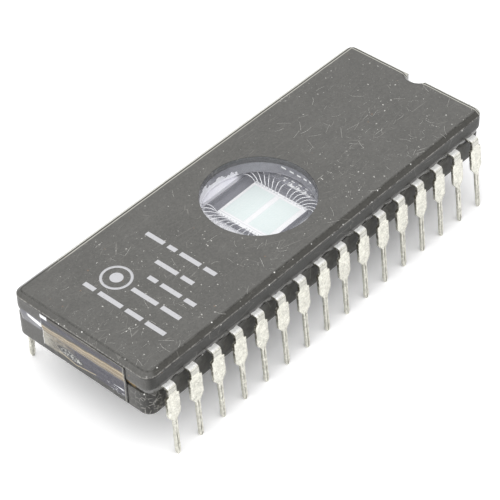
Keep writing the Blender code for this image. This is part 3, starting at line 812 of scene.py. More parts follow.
def die_finish(settings):
    """Die: two fields of cells in rows and blocks, bright metal tracks round them and sawn sides."""
    make = Finish("memory die", Metallic=0.25, Specular_IOR_Level=0.7)
    turned = make.out("ShaderNodeMapping", vector_type="TEXTURE", Vector=make.place,
                      Location=DIE_PLACE.to_translation() / MM, Rotation=(0, 0, DIE_TURN))
    x, y, z = make.axes(turned)

    def fields(grow):
        across = x.inside(-1.93 - grow, 2.13 + grow)
        return across * y.inside(0.37 - grow, 2.58 + grow) | across * y.inside(-2.33 - grow, -0.17 + grow)

    field = fields(0)
    outline = fields(0.06) - field
    rows = make.out("ShaderNodeTexWave", pick="Fac", Vector=turned, Scale=2.4, Distortion=0, bands_direction="Y")
    blocks = make.out("ShaderNodeTexBrick", pick="Color", Vector=turned, Scale=1.0, Mortar_Size=0.012,
                      Brick_Width=0.53, Row_Height=0.26, offset=0, Color1=(0.83, 0.915, 0.89),
                      Color2=(0.80, 0.895, 0.87), Mortar=(0.91, 0.96, 0.945))
    cells = make.mix(rows.spread(0, 1, 0, 0.25), blocks, settings.field)
    tracks = make.grain(9, 2, 0.5, make.stretched((3, 0.35, 1), place=turned))
    edge = make.mix(tracks.spread(0.57, 0.64, 0, 0.30), settings.border, (0.50, 0.54, 0.56))
    guard = x.inside(-2.20, -2.16) | x.inside(2.34, 2.38)
    edge = make.mix(guard * 0.6, edge, (0.45, 0.48, 0.52))
    top = make.mix(outline * 0.35, make.mix(field, edge, cells), (0.62, 0.70, 0.70))
    side = z.spread(-0.03, -0.01, 1, 0)
    saw = make.mix(make.grain(12, 3), (0.20, 0.20, 0.22), (0.34, 0.34, 0.37))
    make.set("Base Color", make.mix(side, top, saw))
    make.set("Roughness", make.grain(8, 2).levels(0.36, 0.46) + side * 0.3)
    make.bump(rows * 0.3 + tracks, 0.001, 0.5)
    return make.material


def attach_finish():
    """Lumpy metal under the die, painted bright along the die's open end where light comes in."""
    make = Finish("die attach", Metallic=0.4)
    lumps = make.grain(5, 3, 0.6)
    x, _, _ = make.axes()
    grey = make.mix(lumps, (0.26, 0.27, 0.29), (0.50, 0.51, 0.54))
    # Painted light along the die's open end
    make.set("Base Color", make.mix(x.spread(-2.05, -2.15), grey, (0.92, 0.92, 0.94)))
    make.set("Roughness", lumps.levels(0.40, 0.6))
    make.bump(lumps, 0.02, 0.8)
    return make.material


def pad_finish():
    make = Finish("pad metal", Metallic=1.0)
    worn = make.grain(20, 3)
    make.set("Base Color", make.mix(worn, (0.42, 0.44, 0.48), (0.70, 0.71, 0.74)))
    make.set("Roughness", worn.levels(0.2, 0.4))
    make.bump(worn, 0.002, 0.5)
    return make.material


def lens_finish(settings):
    """Window: a clear face, and a wall painted near white above as light and grey where it is fused to the frit,
    with painted glints along the line between and a row of painted reflections of the finger tips.
    """
    make = Finish("window glass", IOR=1.46, Specular_IOR_Level=0.6)
    x, y, z = make.axes()
    side = make.far(x, y).spread(4.850, 4.856) * z.spread(8.61, 8.59)
    wave = make.grain(1.5, 3, 0.6).levels(-0.34, 0.34)
    above = z - (wave + x.spread(-0.3, -2.6, 7.95, 8.80) + x.spread(2.2, 2.7, 0, -1.2))
    # The wall: painted light above, grey where it is fused to the frit, and painted glints along the line
    # between
    painted_light_wall = make.mix(make.grain(2.0, 3), (0.86, 0.85, 0.91), (0.98, 0.98, 1.0))
    fused = make.mix(make.grain(2.6, 4, 0.6), (0.24, 0.24, 0.26), (0.33, 0.33, 0.36))
    wall = make.mix(above.spread(-0.02, 0.02), painted_light_wall, fused)
    painted_glints = above.inside(-0.06, 0.05) * make.grain(1.9, 2).spread(0.50, 0.56)
    wall = make.mix(painted_glints, wall, WHITE)
    # A row of painted reflections of the finger tips on the far wall
    bow = z - y * y * 0.11
    steps = make.math("FRACT", (y + 5.05) / 0.76)
    row = bow.inside(8.03, 8.20) * steps.inside(0.18, 0.72, 0.04) * (y.inside(-1.75, 1.85) * x.spread(4.0, 4.3))
    wall = make.mix(row, wall, WHITE)
    face = make.mix(make.cells(2.4).spread(0.03, 0.06, 0.5, 0), settings.glass, (0.95, 0.95, 0.95))
    make.set("Base Color", make.mix(side, face, wall))
    make.set("Alpha", side.spread(0, 1, settings.veil, 0.94))
    make.set("Roughness", make.grain(1.5, 3).levels(0.02, 0.07))
    streak = make.cells(0.9, "DISTANCE_TO_EDGE", make.stretched((0.2, 1.0, 0.4), 35))
    make.bump(streak.spread(0.002, 0.01, 1, 0), 0.002, 0.4)
    return make.material


def film_finish(settings):
    """Film over the plain end: a tan stripe of adhesive across it, dark glossy film above and below, a bubble
    with pale curls that are painted glints, a crease with painted shade under it, and a few painted highlights."""
    make = Finish("end film", Specular_IOR_Level=0.35, Coat_Weight=0.2, Coat_Roughness=0.06)
    _, y, z = make.axes()

    def slant(first, last):
        """Height of a line that falls or rises from the film's +Y edge to its -Y edge."""
        return y.spread(4.2, -5.0, first, last)

    # The stripe; height is 0 at its lower edge and 1 at its upper
    wobble = make.grain(0.9, 3)
    low, high = slant(6.84, 7.12), slant(7.56, 8.16)
    height = (z + wobble.levels(-0.05, 0.05) - low) / (high - low)
    threads = make.grain(2.2, 4, 0.7, make.stretched((1, 0.22, 11)))
    level = height + threads.levels(-0.05, 0.05)
    tan = make.ramp(level, (0.0, (0.085, 0.065, 0.045)), (1.0, (0.14, 0.107, 0.07)), (0.08, (0.28, 0.22, 0.14)),
                    (0.20, (0.12, 0.09, 0.055)), (0.30, (0.30, 0.235, 0.145)), (0.42, (0.42, 0.34, 0.22)),
                    (0.50, (0.14, 0.10, 0.055)), (0.58, (0.35, 0.27, 0.16)), (0.70, (0.20, 0.145, 0.08)),
                    (0.82, (0.56, 0.47, 0.32)), (0.92, (0.24, 0.175, 0.095)))
    tan = make.shade(tan, threads.levels(0.62, 1.3))
    # Above the stripe
    violet = make.mix(make.grain(2.0, 4, 0.6).spread(0.35, 0.7), settings.film, (0.046, 0.044, 0.064))
    grey = make.mix(threads.spread(0.35, 0.65), (0.034, 0.033, 0.029), (0.075, 0.072, 0.064))
    upper = make.mix((z - slant(7.82, 8.22)).inside(0.0, 0.50, 0.05), grey, violet)
    upper = make.mix((z - slant(8.66, 8.32)).inside(-0.05, 0.04, 0.03) * 0.85, upper, (0.045, 0.026, 0.016))
    # Below the stripe
    blotch = make.grain(1.6, 4, 0.65, distortion=0.8).spread(0.35, 0.65)
    beige = make.mix(blotch, (0.085, 0.078, 0.063), (0.30, 0.275, 0.225))
    beige = make.mix(y.spread(3.1, 3.8, 0, 0.55), beige, (0.55, 0.53, 0.46))
    lower = make.mix(y.spread(0.4, 2.0), violet, beige)
    thread = (z - y.spread(4.2, 0.4, 6.60, 6.68)).inside(-0.045, 0.045, 0.03) * y.spread(0.6, 1.6)
    lower = make.mix(thread * 0.8, lower, (0.26, 0.21, 0.15))
    lower = make.mix(z.spread(5.50, 5.32), lower, (0.024, 0.0235, 0.020))
    body = make.mix(height.spread(0.45, 0.55), lower, upper)
    body = make.mix(height.inside(0.0, 1.0, 0.04), body, tan)
    # The bubble, with pale curls that are painted glints; away is 1 on its outline
    away = make.far((y - 1.1) / 1.35, (z - y.spread(2.3, -0.2, 6.12, 5.82)) / 0.36)
    curls = make.grain(2.6, 4, 0.6, distortion=2.5)
    bubble = make.mix(curls.spread(0.48, 0.57), (0.016, 0.018, 0.022), (0.50, 0.50, 0.47))
    body = make.mix(away.spread(0.85, 1.05, 1, 0), body, bubble)
    body = make.mix(away.inside(0.88, 1.12, 0.06) * curls.spread(0.36, 0.5), body, (0.018, 0.017, 0.015))
    # The crease under it, with painted shade below the crease
    fold = z - y.spread(2.3, 0.6, 5.62, 5.30) - y.spread(0.6, -1.6, 0, 0.36)
    crease = fold.inside(-0.05, 0.05, 0.03) * y.inside(-1.6, 2.5, 0.1)
    body = make.mix(crease * 0.85, body, (0.50, 0.42, 0.28))
    painted_shade_under_fold = fold.inside(-0.17, -0.08, 0.03) * y.inside(-1.2, 2.3, 0.1)
    body = make.mix(painted_shade_under_fold * 0.7, body, (0.014, 0.013, 0.010))
    # Painted highlights, and the film's own edges, with a painted highlight line and a dark line along the -Y
    # edge
    shine = make.grain(1.7, 3, 0.6, make.stretched((1, 0.5, 4))).spread(0.56, 0.62)
    painted_shine_patch = y.inside(-4.6, -2.9, 0.15) * z.inside(5.32, 6.1, 0.08)
    corner = y.spread(3.42, 3.5) * z.inside(8.36, 8.72, 0.04)
    border = y.spread(4.10, 4.13) * make.grain(1.6, 2).spread(0.40, 0.52) * z.spread(8.0, 7.8, 0.15, 0.5)
    body = make.mix(painted_shine_patch * shine | (corner | border), body, (0.92, 0.93, 0.96))
    rim = z.inside(8.69, 8.74) * threads.spread(0.44, 0.54)
    body = make.mix(rim * 0.7, body, (0.40, 0.38, 0.34))
    body = make.mix(y.inside(-4.82, -4.76), body, (0.36, 0.35, 0.30))
    make.set("Base Color", make.mix(y.spread(-4.86, -4.89), body, (0.012, 0.011, 0.009)))
    make.set("Roughness", make.grain(2.5, 3).levels(0.18, 0.36))
    make.bump(curls * 0.3 + wobble * 0.7, 0.03, 0.5)
    return make.material


def ink_finish(settings):
    """White print, worn through in places."""
    make = Finish("white ink", Specular_IOR_Level=0.2)
    worn = make.grain(9, 4, 0.7)
    make.set("Base Color", make.mix(worn.spread(0.56, 0.74, 0, 0.55), settings.ink, (0.26, 0.26, 0.26)))
    make.set("Roughness", worn.levels(0.5, 0.8))
    make.bump(worn, 0.006, 0.6)
    return make.material


def rub_finish(settings):
    """Metal rubbed off on the ceramic, fainter in patches."""
    make = Finish("rubbed metal", Specular_IOR_Level=0.4)
    broken = make.grain(12, 3, 0.7)
    rub = make.mix(broken.spread(0.35, 0.6), (0.24, 0.235, 0.22), settings.rub)
    make.set("Base Color", make.mix(make.grain(0.9, 3).spread(0.40, 0.60, 0.45, 0), rub, (0.20, 0.195, 0.18)))
    make.set("Roughness", broken.levels(0.35, 0.6))
    make.bump(broken, 0.004, 0.6)
    return make.material


# Ceramic plates

def hole_rings(shape, radius, profile, steps=160):
    """Rings of a round hole; profile is (added radius, height) from the top down."""
    rings = []
    for added, height in profile:
        points = sweep((0, 0), radius + added, 0, 4 * QUARTER, steps)
        rings.append([shape.verts.new((x, y, height)) for x, y in points])
    join_rings(shape, rings)
    return rings


def heights_between(low, high, *shares):
    """Points on a plate's upright wall, so that its long faces have rows to be chipped and ruffled."""
    return [(0, low + (high - low) * share) for share in shares]


def build_lid(settings):
    """Lid with a bevelled rim, rounded edges, small chips, the notch and the window hole."""
    bevel, edge = settings.lid_bevel, LID_HIGH.z - settings.bevel_drop
    bottom, top = LID_LOW.z, LID_HIGH.z
    path = [(RIM_REACH, bottom), (0, bottom), (0, edge), (bevel, top), (bevel + 0.5 * MM, top)]
    lower = rounded(path[:3], settings.seam_round)
    upper = rounded(path[1:], settings.edge_round)
    middle = heights_between(bottom, edge, 0.35, 0.5, 0.65, 0.8)
    profile = lower[:-1] + middle + upper[1:-1] + [(bevel + settings.worn_width + RIM_LAP, top)]
    shape = bmesh.new()
    rings = plate_shell(shape, LID_PLATE, path, profile, settings, 3.7)
    flare = settings.window_round
    hole = rounded([(flare + 0.3 * MM, top), (0, top), (0, bottom)], flare, 3)
    hole = [(flare + RIM_LAP, top), *hole[1:-1], (0, (top + bottom) / 2), (0, bottom)]
    holes = hole_rings(shape, settings.window_radius, hole)
    fill_between(shape, rings[-1], holes[0])
    fill_between(shape, rings[0], holes[-1])
    add_piece("lid_plate", shape, ceramic_finish(settings), "ceramic", "ceramic_lid")


def cavity_ring(shape, grow, height):
    """Outline of the die cavity at one height."""
    corner = CAVITY_CORNER + grow
    side_x, side_y = CAVITY_HALF_X + grow - corner, CAVITY_HALF_Y + grow - corner
    points = []
    for turn, (x, y) in enumerate(((-1, -1), (1, -1), (1, 1), (-1, 1))):
        start = (2 + turn) * QUARTER
        end = start + QUARTER
        points += sweep((x * side_x, y * side_y), corner, start, end, 8)
        points.append((x * side_x + corner * math.cos(end), y * side_y + corner * math.sin(end)))
    return [shape.verts.new((x, y, height)) for x, y in points]


def build_base(settings):
    """Base with rounded and chipped edges, the notch and the die cavity."""
    bottom, top = BASE_LOW.z, BASE_HIGH.z
    path = [(RIM_REACH, bottom), (0, bottom), (0, top), (RIM_REACH, top)]
    lower = rounded(path[:3], settings.foot_round)
    upper = rounded(path[1:], settings.seam_round)
    middle = heights_between(bottom, top, 0.2, 0.35, 0.5, 0.65, 0.8)
    profile = lower[1:-1] + middle + upper[1:-1]
    profile = [(profile[0][0] + RIM_LAP, bottom), *profile, (profile[-1][0] + RIM_LAP, top)]
    shape = bmesh.new()
    rings = plate_shell(shape, BASE_PLATE, path, profile, settings, 8.2)
    floor = DIE_LOW.z - ATTACH_DEPTH
    walls = ((0.02, top), (0, top - 0.02 * MM), (0, floor + 0.08 * MM), (-0.05, floor + 0.02 * MM),
             (-0.12, floor))
    pocket = [cavity_ring(shape, grow * MM, height) for grow, height in walls]
    join_rings(shape, pocket)
    fill_between(shape, rings[-1], pocket[0])
    fill_between(shape, rings[0])
    shape.faces.new(pocket[-1])
    add_piece("base_plate", shape, bpy.data.materials["fired ceramic"], "ceramic", "ceramic_base")


# Glass between the plates

# Insets and heights in mm round the bead, where it is slim and where it is full
SLIM_BEAD = ((0.55, 7.55), (0.12, 7.55), (0.07, 7.47), (0.09, 7.37), (0.13, 7.27), (0.18, 7.15), (0.21, 7.02),
             (0.25, 6.94), (0.55, 6.92))
FULL_BEAD = ((0.55, 7.55), (0.01, 7.84), (-0.02, 7.68), (-0.04, 7.50), (-0.03, 7.30), (0.00, 7.10), (0.05, 6.86),
             (0.085, 6.62), (0.55, 6.92))
# Radii and heights in mm
FRIT_RING = ((4.97, 7.62), (4.89, 7.64), (4.84, 7.55), (4.87, 7.43), (4.95, 7.34), (5.10, 7.325), (5.35, 7.325),
             (5.35, 7.53), (5.10, 7.53))


def near_lead(x, y):
    """1 beside a lead, 0 midway between two leads and along the ends."""
    if abs(y) < LID_HIGH.y - 0.8 * MM:
        return 0.0
    return 1 - 2 * abs((x / PITCH) % 1 - 0.5)


def bead_swell(x, y):
    """How far the run-out glass bulges, from 0 to 1: fully beside the end film, and a little at each lead."""
    if x < -LID_HIGH.x + 1.0 * MM:
        least = 0.25 if y < 6.0 * MM else 0.0
        return max(least, min(1.0, (7.15 * MM - y) / (0.6 * MM), (y - 4.0 * MM) / (0.3 * MM)))
    return 0.18 + 0.30 * near_lead(x, y)


def build_bead(settings):
    """Glass that ran out along the seam, rippled between the leads."""
    shape = bmesh.new()
    drawn_in = 0.5                                  # mm between the two outlines that a point lies between
    outlines = list(zip(plate_ring(LID_PLATE, 0), plate_ring(LID_PLATE, drawn_in * MM)))
    rings = []
    for place, (slim, full) in enumerate(zip(SLIM_BEAD, FULL_BEAD)):
        ring = []
        for (x, y), (in_x, in_y) in outlines:
            swell = bead_swell(x, y)
            inset, height = (low + (high - low) * swell for low, high in zip(slim, full))
            if 0 < place < len(SLIM_BEAD) - 1:
                ripple = noise.noise(Vector((x, y, height * MM)) / MM * 1.7)
                inset += (0.10 * (1 - near_lead(x, y)) + 0.05 * ripple) * (1 - swell)
            share = inset / drawn_in
            ring.append(shape.verts.new((x + (in_x - x) * share, y + (in_y - y) * share, height * MM)))
        rings.append(ring)
    join_rings(shape, [*rings, rings[0]])
    add_piece("seam_bead", shape, bead_finish(settings), "seal_glass", angle=60)


def build_frit(settings):
    """Uneven ring of glass under the window's rim, pushed outwards at both ends."""
    shape = bmesh.new()
    profile = [(radius * MM - settings.window_radius, height * MM) for radius, height in FRIT_RING]
    rings = hole_rings(shape, settings.window_radius, profile)
    join_rings(shape, [rings[-1], rings[0]])
    for vert in shape.verts:
        vert.co.z += 0.02 * MM * noise.noise(vert.co / MM * 1.3)
        outward = held((abs(vert.co.x + 0.2 * MM) - 2.2 * MM) / (0.8 * MM))
        vert.co.xy = vert.co.xy * (1 + 0.10 * outward)
    add_piece("frit_ring", shape, bpy.data.materials["seal glass"], "seal_glass", angle=60)


# Leads and wires

def tip_place(distance):
    """Point and outward direction on the line of finger tips, from the middle of the cavity's end."""
    straight = TIP_HALF_Y - TIP_TURN
    bend = TIP_TURN * QUARTER
    if distance < straight:
        return Vector((TIP_HALF_X, distance)), Vector((1, 0))
    if distance < straight + bend:
        angle = (distance - straight) / TIP_TURN
        out = Vector((math.cos(angle), math.sin(angle)))
        return Vector((TIP_HALF_X - TIP_TURN * (1 - out.x), straight + TIP_TURN * out.y)), out
    return Vector((TIP_HALF_X - TIP_TURN - (distance - straight - bend), TIP_HALF_Y)), Vector((0, 1))


def finger_rank(index):
    """End of the cavity that a lead goes to, and its rank there from the middle line outwards."""
    half = LEADS_PER_SIDE // 2
    return (1, index) if index < half else (-1, LEADS_PER_SIDE - 1 - index)


def lead_x(index):
    return ((LEADS_PER_SIDE - 1) / 2 - index) * PITCH


def end_share(side, index):
    """How near a lead is to an end of its row, small along the middle."""
    return side * (2 * lead_x(index) / (PITCH * (LEADS_PER_SIDE - 1))) ** 3


def lead_bend(side, index):
    return QUARTER - LEAN[side] - LEAN_DRIFT * end_share(side, index)


def flat_place(height, bend):
    """Where a height above the floor lies along the strip while it is still flat."""
    after_bend = LEAD_MIDDLE - BEND_RADIUS * (1 - math.cos(bend))
    drop = after_bend - LEAD_THICK / 2 * math.cos(bend) - height
    return BEND_START + BEND_RADIUS * bend + drop / math.sin(bend)


def strip_stations(side, index):
    """Middle line of the flat strip as (x, y, half width), from finger tip to pin tip."""
    place = lead_x(index)
    end, rank = finger_rank(index)
    tip, out = tip_place((rank + 0.5) * FINGER_PITCH)
    knee = tip + out * KNEE_SHARE * FINGER_RUN
    path = [(end * tip.x, tip.y, FINGER_HALF), (end * knee.x, knee.y, FINGER_HALF),
            (place, LID_HIGH.y - NECK_SHARE * FINGER_RUN, NECK_HALF),
            (place, LID_HIGH.y - STRAP_SHARE * FINGER_RUN, STRAP_HALF)]
    bend = lead_bend(side, index)
    return path + [(place, flat_place(height * MM, bend), half * MM) for height, half in PIN_STATIONS]


def stepped(stations, step):
    """The same line cut into short steps, with the direction across it at each."""
    points = []
    for (x, y, half), (next_x, next_y, next_half) in zip(stations, stations[1:]):
        start, end = Vector((x, y)), Vector((next_x, next_y))
        count = max(1, round((end - start).length / step))
        for place in range(count):
            share = place / count
            points.append((start.lerp(end, share), half + (next_half - half) * share))
    points.append((Vector(stations[-1][:2]), stations[-1][2]))
    made = []
    for place, (point, half) in enumerate(points):
        along = points[min(place + 1, len(points) - 1)][0] - points[max(place - 1, 0)][0]
        along.normalize()
        made.append((point, Vector((-along.y, along.x)), half))
    return made


def strip_section(half, thick, rounding):
    """Rounded section of a strip as (across, up) pairs, anticlockwise, with points along its wide faces."""
    flat = half - rounding
    points = []
    for turn, (x, y) in enumerate(((1, 1), (-1, 1), (-1, -1), (1, -1))):
        centre = (x * flat, y * (thick / 2 - rounding))
        for step in range(3):
            angle = turn * QUARTER + step * QUARTER / 2
            points.append((centre[0] + rounding * math.cos(angle), centre[1] + rounding * math.sin(angle)))
        if y == x:
            points += [(flat * x * share, y * thick / 2) for share in (0.5, 0.0, -0.5)]
    return points


def bent(place, bend, skew):
    """A point of the flat strip after it has been bent down and leant along the row."""
    along = place.y - BEND_START
    if along <= 0:
        return place
    angle = min(along / BEND_RADIUS, bend)
    rest = max(along - BEND_RADIUS * bend, 0)
    reach = BEND_RADIUS + place.z - LEAD_MIDDLE
    return Vector((place.x + rest * math.tan(skew),
                   BEND_START + reach * math.sin(angle) + rest * math.cos(angle),
                   LEAD_MIDDLE - BEND_RADIUS + reach * math.cos(angle) - rest * math.sin(angle)))


def solder_lump(place, seed):
    """Unevenness of the solder at a place, from about -1 to 1."""
    point = place / MM
    coarse = noise.noise(point * 2.3 + Vector((seed, 0, 0)))
    return coarse + 0.4 * noise.noise(point * 6.5 + Vector((0, seed, 0)))


def lead_shape(settings, side, index, number):
    """One lead with rounded edges and an uneven coat of solder outside the body."""
    shape = bmesh.new()
    cut, distance, centred = (shape.verts.layers.float.new(name) for name in ("cut", "along", "middle"))
    bend = lead_bend(side, index)
    skew = side * (SKEW + SKEW_DRIFT * end_share(side, index))
    turn = Matrix.Rotation(0 if side > 0 else math.pi, 4, "Z")
    rings = []
    done = 0.0
    before = None
    for point, across, half in stepped(strip_stations(side, index), settings.step):
        done += (point - before).length if before else 0.0
        before = point
        outside = held((point.y - LID_HIGH.y) / (0.5 * MM))
        core = bent(Vector((point.x, point.y, LEAD_MIDDLE)), bend, skew)
        ring = []
        for wide, up in strip_section(half, LEAD_THICK, settings.rounding):
            flat = Vector((point.x + across.x * wide, point.y + across.y * wide, LEAD_MIDDLE + up))
            place = bent(flat, bend, skew)
            lump = solder_lump(place, number) * settings.coat * outside
            place += (place - core).normalized() * lump
            place.z = max(place.z, 0)
            vert = shape.verts.new(turn @ place)
            vert[cut] = 1.0 if abs(wide) > half - settings.rounding / 2 else 0.0
            vert[distance] = done / MM
            vert[centred] = 1 - abs(wide) / half
            ring.append(vert)
        rings.append(ring)
    join_rings(shape, rings)
    shape.faces.new(rings[0][::-1])
    shape.faces.new(rings[-1])
    return shape


LEADS = [(side, index) for side in (1, -1) for index in range(LEADS_PER_SIDE)]


def build_leads(settings):
    finish = tin_finish(settings)
    for number, (side, index) in enumerate(LEADS, 1):
        shape = lead_shape(settings, side, index, number)
        add_piece(f"tinned_lead_{number:02d}", shape, finish, "tinned_lead", f"lead_{number:02d}")


def pad_place(settings, end, side, rank, height=0.0):
    """A bond pad on the die, counted from its middle line outwards."""
    across = side * (PAD_MIDDLE + rank * settings.pad_pitch)
    return DIE_PLACE @ Vector((end * (DIE_HALF_X - settings.pad_inset), across, height))


def wire_route(settings, die, side, index):
    """Route of a bond wire: flat on its pad, over a loop and down on its finger."""
    end, rank = finger_rank(index)
    end *= side
    pad = pad_place(die, end, side, rank, settings.wire_radius)
    tip, out = tip_place((rank + 0.5) * FINGER_PITCH)
    bond = Vector((end * (tip.x + out.x * BOND_DEPTH), side * (tip.y + out.y * BOND_DEPTH),
                   LEAD_HIGH + settings.wire_radius))
    foot = Vector((bond.x - pad.x, bond.y - pad.y, 0)).normalized() * WIRE_FOOT * MM
    start, stop = pad + foot, bond - foot
    points = [pad, start]
    for step in range(1, WIRE_STEPS):
        share = step / WIRE_STEPS
        place = start.lerp(stop, share)
        loop = math.sin(math.pi * share) ** WIRE_FULLNESS * (1 - share / 2)
        place.z += (settings.wire_rise + LEAD_HIGH - DIE_HIGH.z) * loop
        points.append(place)
    return points + [stop, bond]


def build_wires(settings, die):
    """Bond wires drawn along their routes, with a flattened foot at each end."""
    mesh = bpy.data.meshes.new("wire_routes")
    places, edges, feet, turns = [], [], [], []
    for side, index in LEADS:
        route = wire_route(settings, die, side, index)
        first = len(places)
        places += [tuple(point) for point in route]
        edges += [(first + step, first + step + 1) for step in range(len(route) - 1)]
        for foot, ahead in ((route[0], route[1]), (route[-1], route[-2])):
            feet.append((foot.x, foot.y, foot.z - settings.wire_radius * 0.5))
            turns.append(math.atan2(ahead.y - foot.y, ahead.x - foot.x))
    mesh.from_pydata(places, edges, [])
    finish = wire_finish(settings)
    make = Recipe("wires along routes", {"Radius": settings.wire_radius}, finish)
    curve = make.out("GeometryNodeMeshToCurve", make[0])
    section = make.out("GeometryNodeCurvePrimitiveCircle", Resolution=8, Radius=make["Radius"])
    tube = make.out("GeometryNodeCurveToMesh", Curve=curve, Profile_Curve=section, Fill_Caps=True)
    wires = make.grow("bond_wires", mesh, tube)
    make = Recipe("flattened wire feet", {"Length": die.ball, "Width": die.ball * 0.7,
                                          "Height": settings.wire_radius}, finish)
    drop = make.out("GeometryNodeMeshUVSphere", Segments=12, Rings=6, Radius=0.5)
    placed = make.place(make[0], drop, Rotation=make.vector(z=make.number("turn")),
                        Scale=make.vector(make["Length"], make["Width"], make["Height"]))
    bonds = make.grow("wire_feet", points_mesh("foot_places", feet, turn=turns), placed)
    for piece in (wires, bonds):
        smooth(piece)
        settle(piece, "tinned_lead")


# Die and window

def build_die(settings):
    """Finish of the die and its attach layer, and the bond pads along both ends of the die."""
    dress("silicon_die", die_finish(settings))
    dress("die_attach", attach_finish())
    places = [pad_place(settings, end, side, rank)
              for end in (-1, 1) for side in (-1, 1) for rank in range(LEADS_PER_SIDE // 2)]
    make = Recipe("pads on the die", {"Side": settings.pad, "Turn": DIE_TURN}, pad_finish())
    pad = make.out("GeometryNodeMeshCube", Size=make.vector(make["Side"], make["Side"], 0.004 * MM))
    placed = make.place(make[0], pad, Rotation=make.vector(z=make["Turn"]))
    settle(make.grow("bond_pads", points_mesh("pad_places", places), placed), "silicon")


def build_lens(settings):
    """Polished lens with rounded edges, set a little below the top of the lid."""
    shape = bmesh.new()
    low, high, face = LENS_LOW.z, LENS_HIGH.z, -0.5 * MM
    path = rounded([(face, high), (0, high), (0, low), (face, low)], settings.edge_round)
    rings = hole_rings(shape, LENS_HIGH.x, path)
    shape.faces.new(rings[0])
    shape.faces.new(rings[-1][::-1])
    add_piece("clear_lens", shape, lens_finish(settings), "window_glass", "window_lens")


# End film

def film_grid(settings, down, across):
    """Rows of places on the film's inner face, from its top down."""
    lid_x, base_x = LID_LOW.x - FILM_GAP, BASE_LOW.x - FILM_GAP
    grid = []
    for row in range(down + 1):
        height = FILM_HIGH.z + (FILM_LOW.z - FILM_HIGH.z) * row / down
        rest = lid_x + (base_x - lid_x) * held((LID_LOW.z + 0.1 * MM - height) / (0.75 * MM))
        line = []
        for column in range(across + 1):
            y = FILM_LOW.y + (FILM_HIGH.y - FILM_LOW.y) * column / across
            place = Vector((0, y, height)) / MM
            fold = abs(noise.noise(Vector((3.1, place.y * 0.55, place.z * 1.7))))
            curl = noise.noise(Vector((place.y * 1.3, 7.7, place.z * 2.6)))
            side = held((place.y - 0.2) / 1.5) * held((6.9 - place.z) / 0.4)
            lift = settings.wrinkle * (0.25 * (1 - fold) + (0.35 + 0.65 * side) * max(0, curl))
            line.append(Vector((rest - lift, y, height)))
        grid.append(line)
    return grid


def build_film(settings):
    """Wrinkled film that steps from the lid's end face to the base's."""
    shape = bmesh.new()
    down, across = 64, 130
    grid = film_grid(settings, down, across)
    outwards = Vector((settings.thickness, 0, 0))
    front = [[shape.verts.new(place - outwards) for place in line] for line in grid]
    back = [[shape.verts.new(place) for place in line] for line in grid]
    for row in range(down):
        for column in range(across):
            for sheet in (front, back):
                shape.faces.new((sheet[row][column], sheet[row][column + 1], sheet[row + 1][column + 1],
                                 sheet[row + 1][column]))
    edge = [(0, column) for column in range(across)] + [(row, across) for row in range(down)]
    edge += [(down, column) for column in range(across, 0, -1)] + [(row, 0) for row in range(down, 0, -1)]
    for (row, column), (next_row, next_column) in zip(edge, edge[1:] + edge[:1]):
        shape.faces.new((front[row][column], front[next_row][next_column], back[next_row][next_column],
                         back[row][column]))
    add_piece("wrinkled_film", shape, film_finish(settings), "end_film", "end_film", angle=60)


# Print marks

# Each row's place along the lid, and the two ends of each bar in it, in mm
MARK_ROWS = (
    (-9.30, (3.85, 1.90), (1.45, 0.55), (0.10, -2.05), (-2.50, -3.72)),
    (-11.20, (0.98, -1.35), (-1.80, -3.05)),
    (-12.90, (0.19, -0.75), (-1.20, -3.30), (-3.75, -4.84)),
    (-14.70, (0.21, -2.50), (-2.95, -4.93)),
    (-16.70, (3.55, 2.35), (1.90, -0.60), (-1.05, -2.75), (-3.20, -5.20)),
)
BADGE_PLACE = (-14.60 * MM, 2.05 * MM)


def build_marks(settings):
    """Rows of plain printed bars, and a disc in a ring."""
    sizes = {"Height": settings.height, "Radius": settings.badge, "Stroke": settings.stroke,
             "Ink": settings.ink_thickness, "Centre X": BADGE_PLACE[0], "Centre Y": BADGE_PLACE[1],
             "Level": LID_HIGH.z}
    make = Recipe("printed marks", sizes, ink_finish(settings))
    block = make.out("GeometryNodeMeshCube", Size=make.vector(make["Height"], 1.0, make["Ink"]))
    bars = make.place(make[0], block, Scale=make.vector(1.0, make.number("length"), 1.0))
    disc = make.out("GeometryNodeMeshCylinder", Vertices=40, Radius=make["Radius"] * 0.45, Depth=make["Ink"])
    line = make.out("GeometryNodeCurvePrimitiveCircle", Resolution=64, Radius=make["Radius"])
    section = make.out("GeometryNodeCurvePrimitiveQuadrilateral", Width=make["Stroke"], Height=make["Ink"])
    ring = make.out("GeometryNodeCurveToMesh", Curve=line, Profile_Curve=section)
    badge = make.out("GeometryNodeTransform", Geometry=make.join(disc, ring),
                     Translation=make.vector(make["Centre X"], make["Centre Y"], make["Level"]))
    rows = [(x, *ends) for x, *bars_in_row in MARK_ROWS for ends in bars_in_row]
    places = [(x * MM, (first + last) / 2 * MM, LID_HIGH.z) for x, first, last in rows]
    lengths = [(first - last) * MM for x, first, last in rows]
    field = points_mesh("mark_places", places, length=lengths)
    settle(make.grow("printed_marks", field, make.join(bars, badge)), "ceramic")


# Wear

def wear_field(name):
    """Flat mesh on the lid's top, with a hole where the window is."""
    shape = bmesh.new()
    outlines = plate_ring(LID_PLATE, 0.5 * MM), sweep((0, 0), 5.1 * MM, 0, 4 * QUARTER, 48)
    fill_between(shape, *([shape.verts.new((x, y, LID_HIGH.z)) for x, y in outline] for outline in outlines))
    bmesh.ops.recalc_face_normals(shape, faces=shape.faces)
    return as_mesh(name, shape)


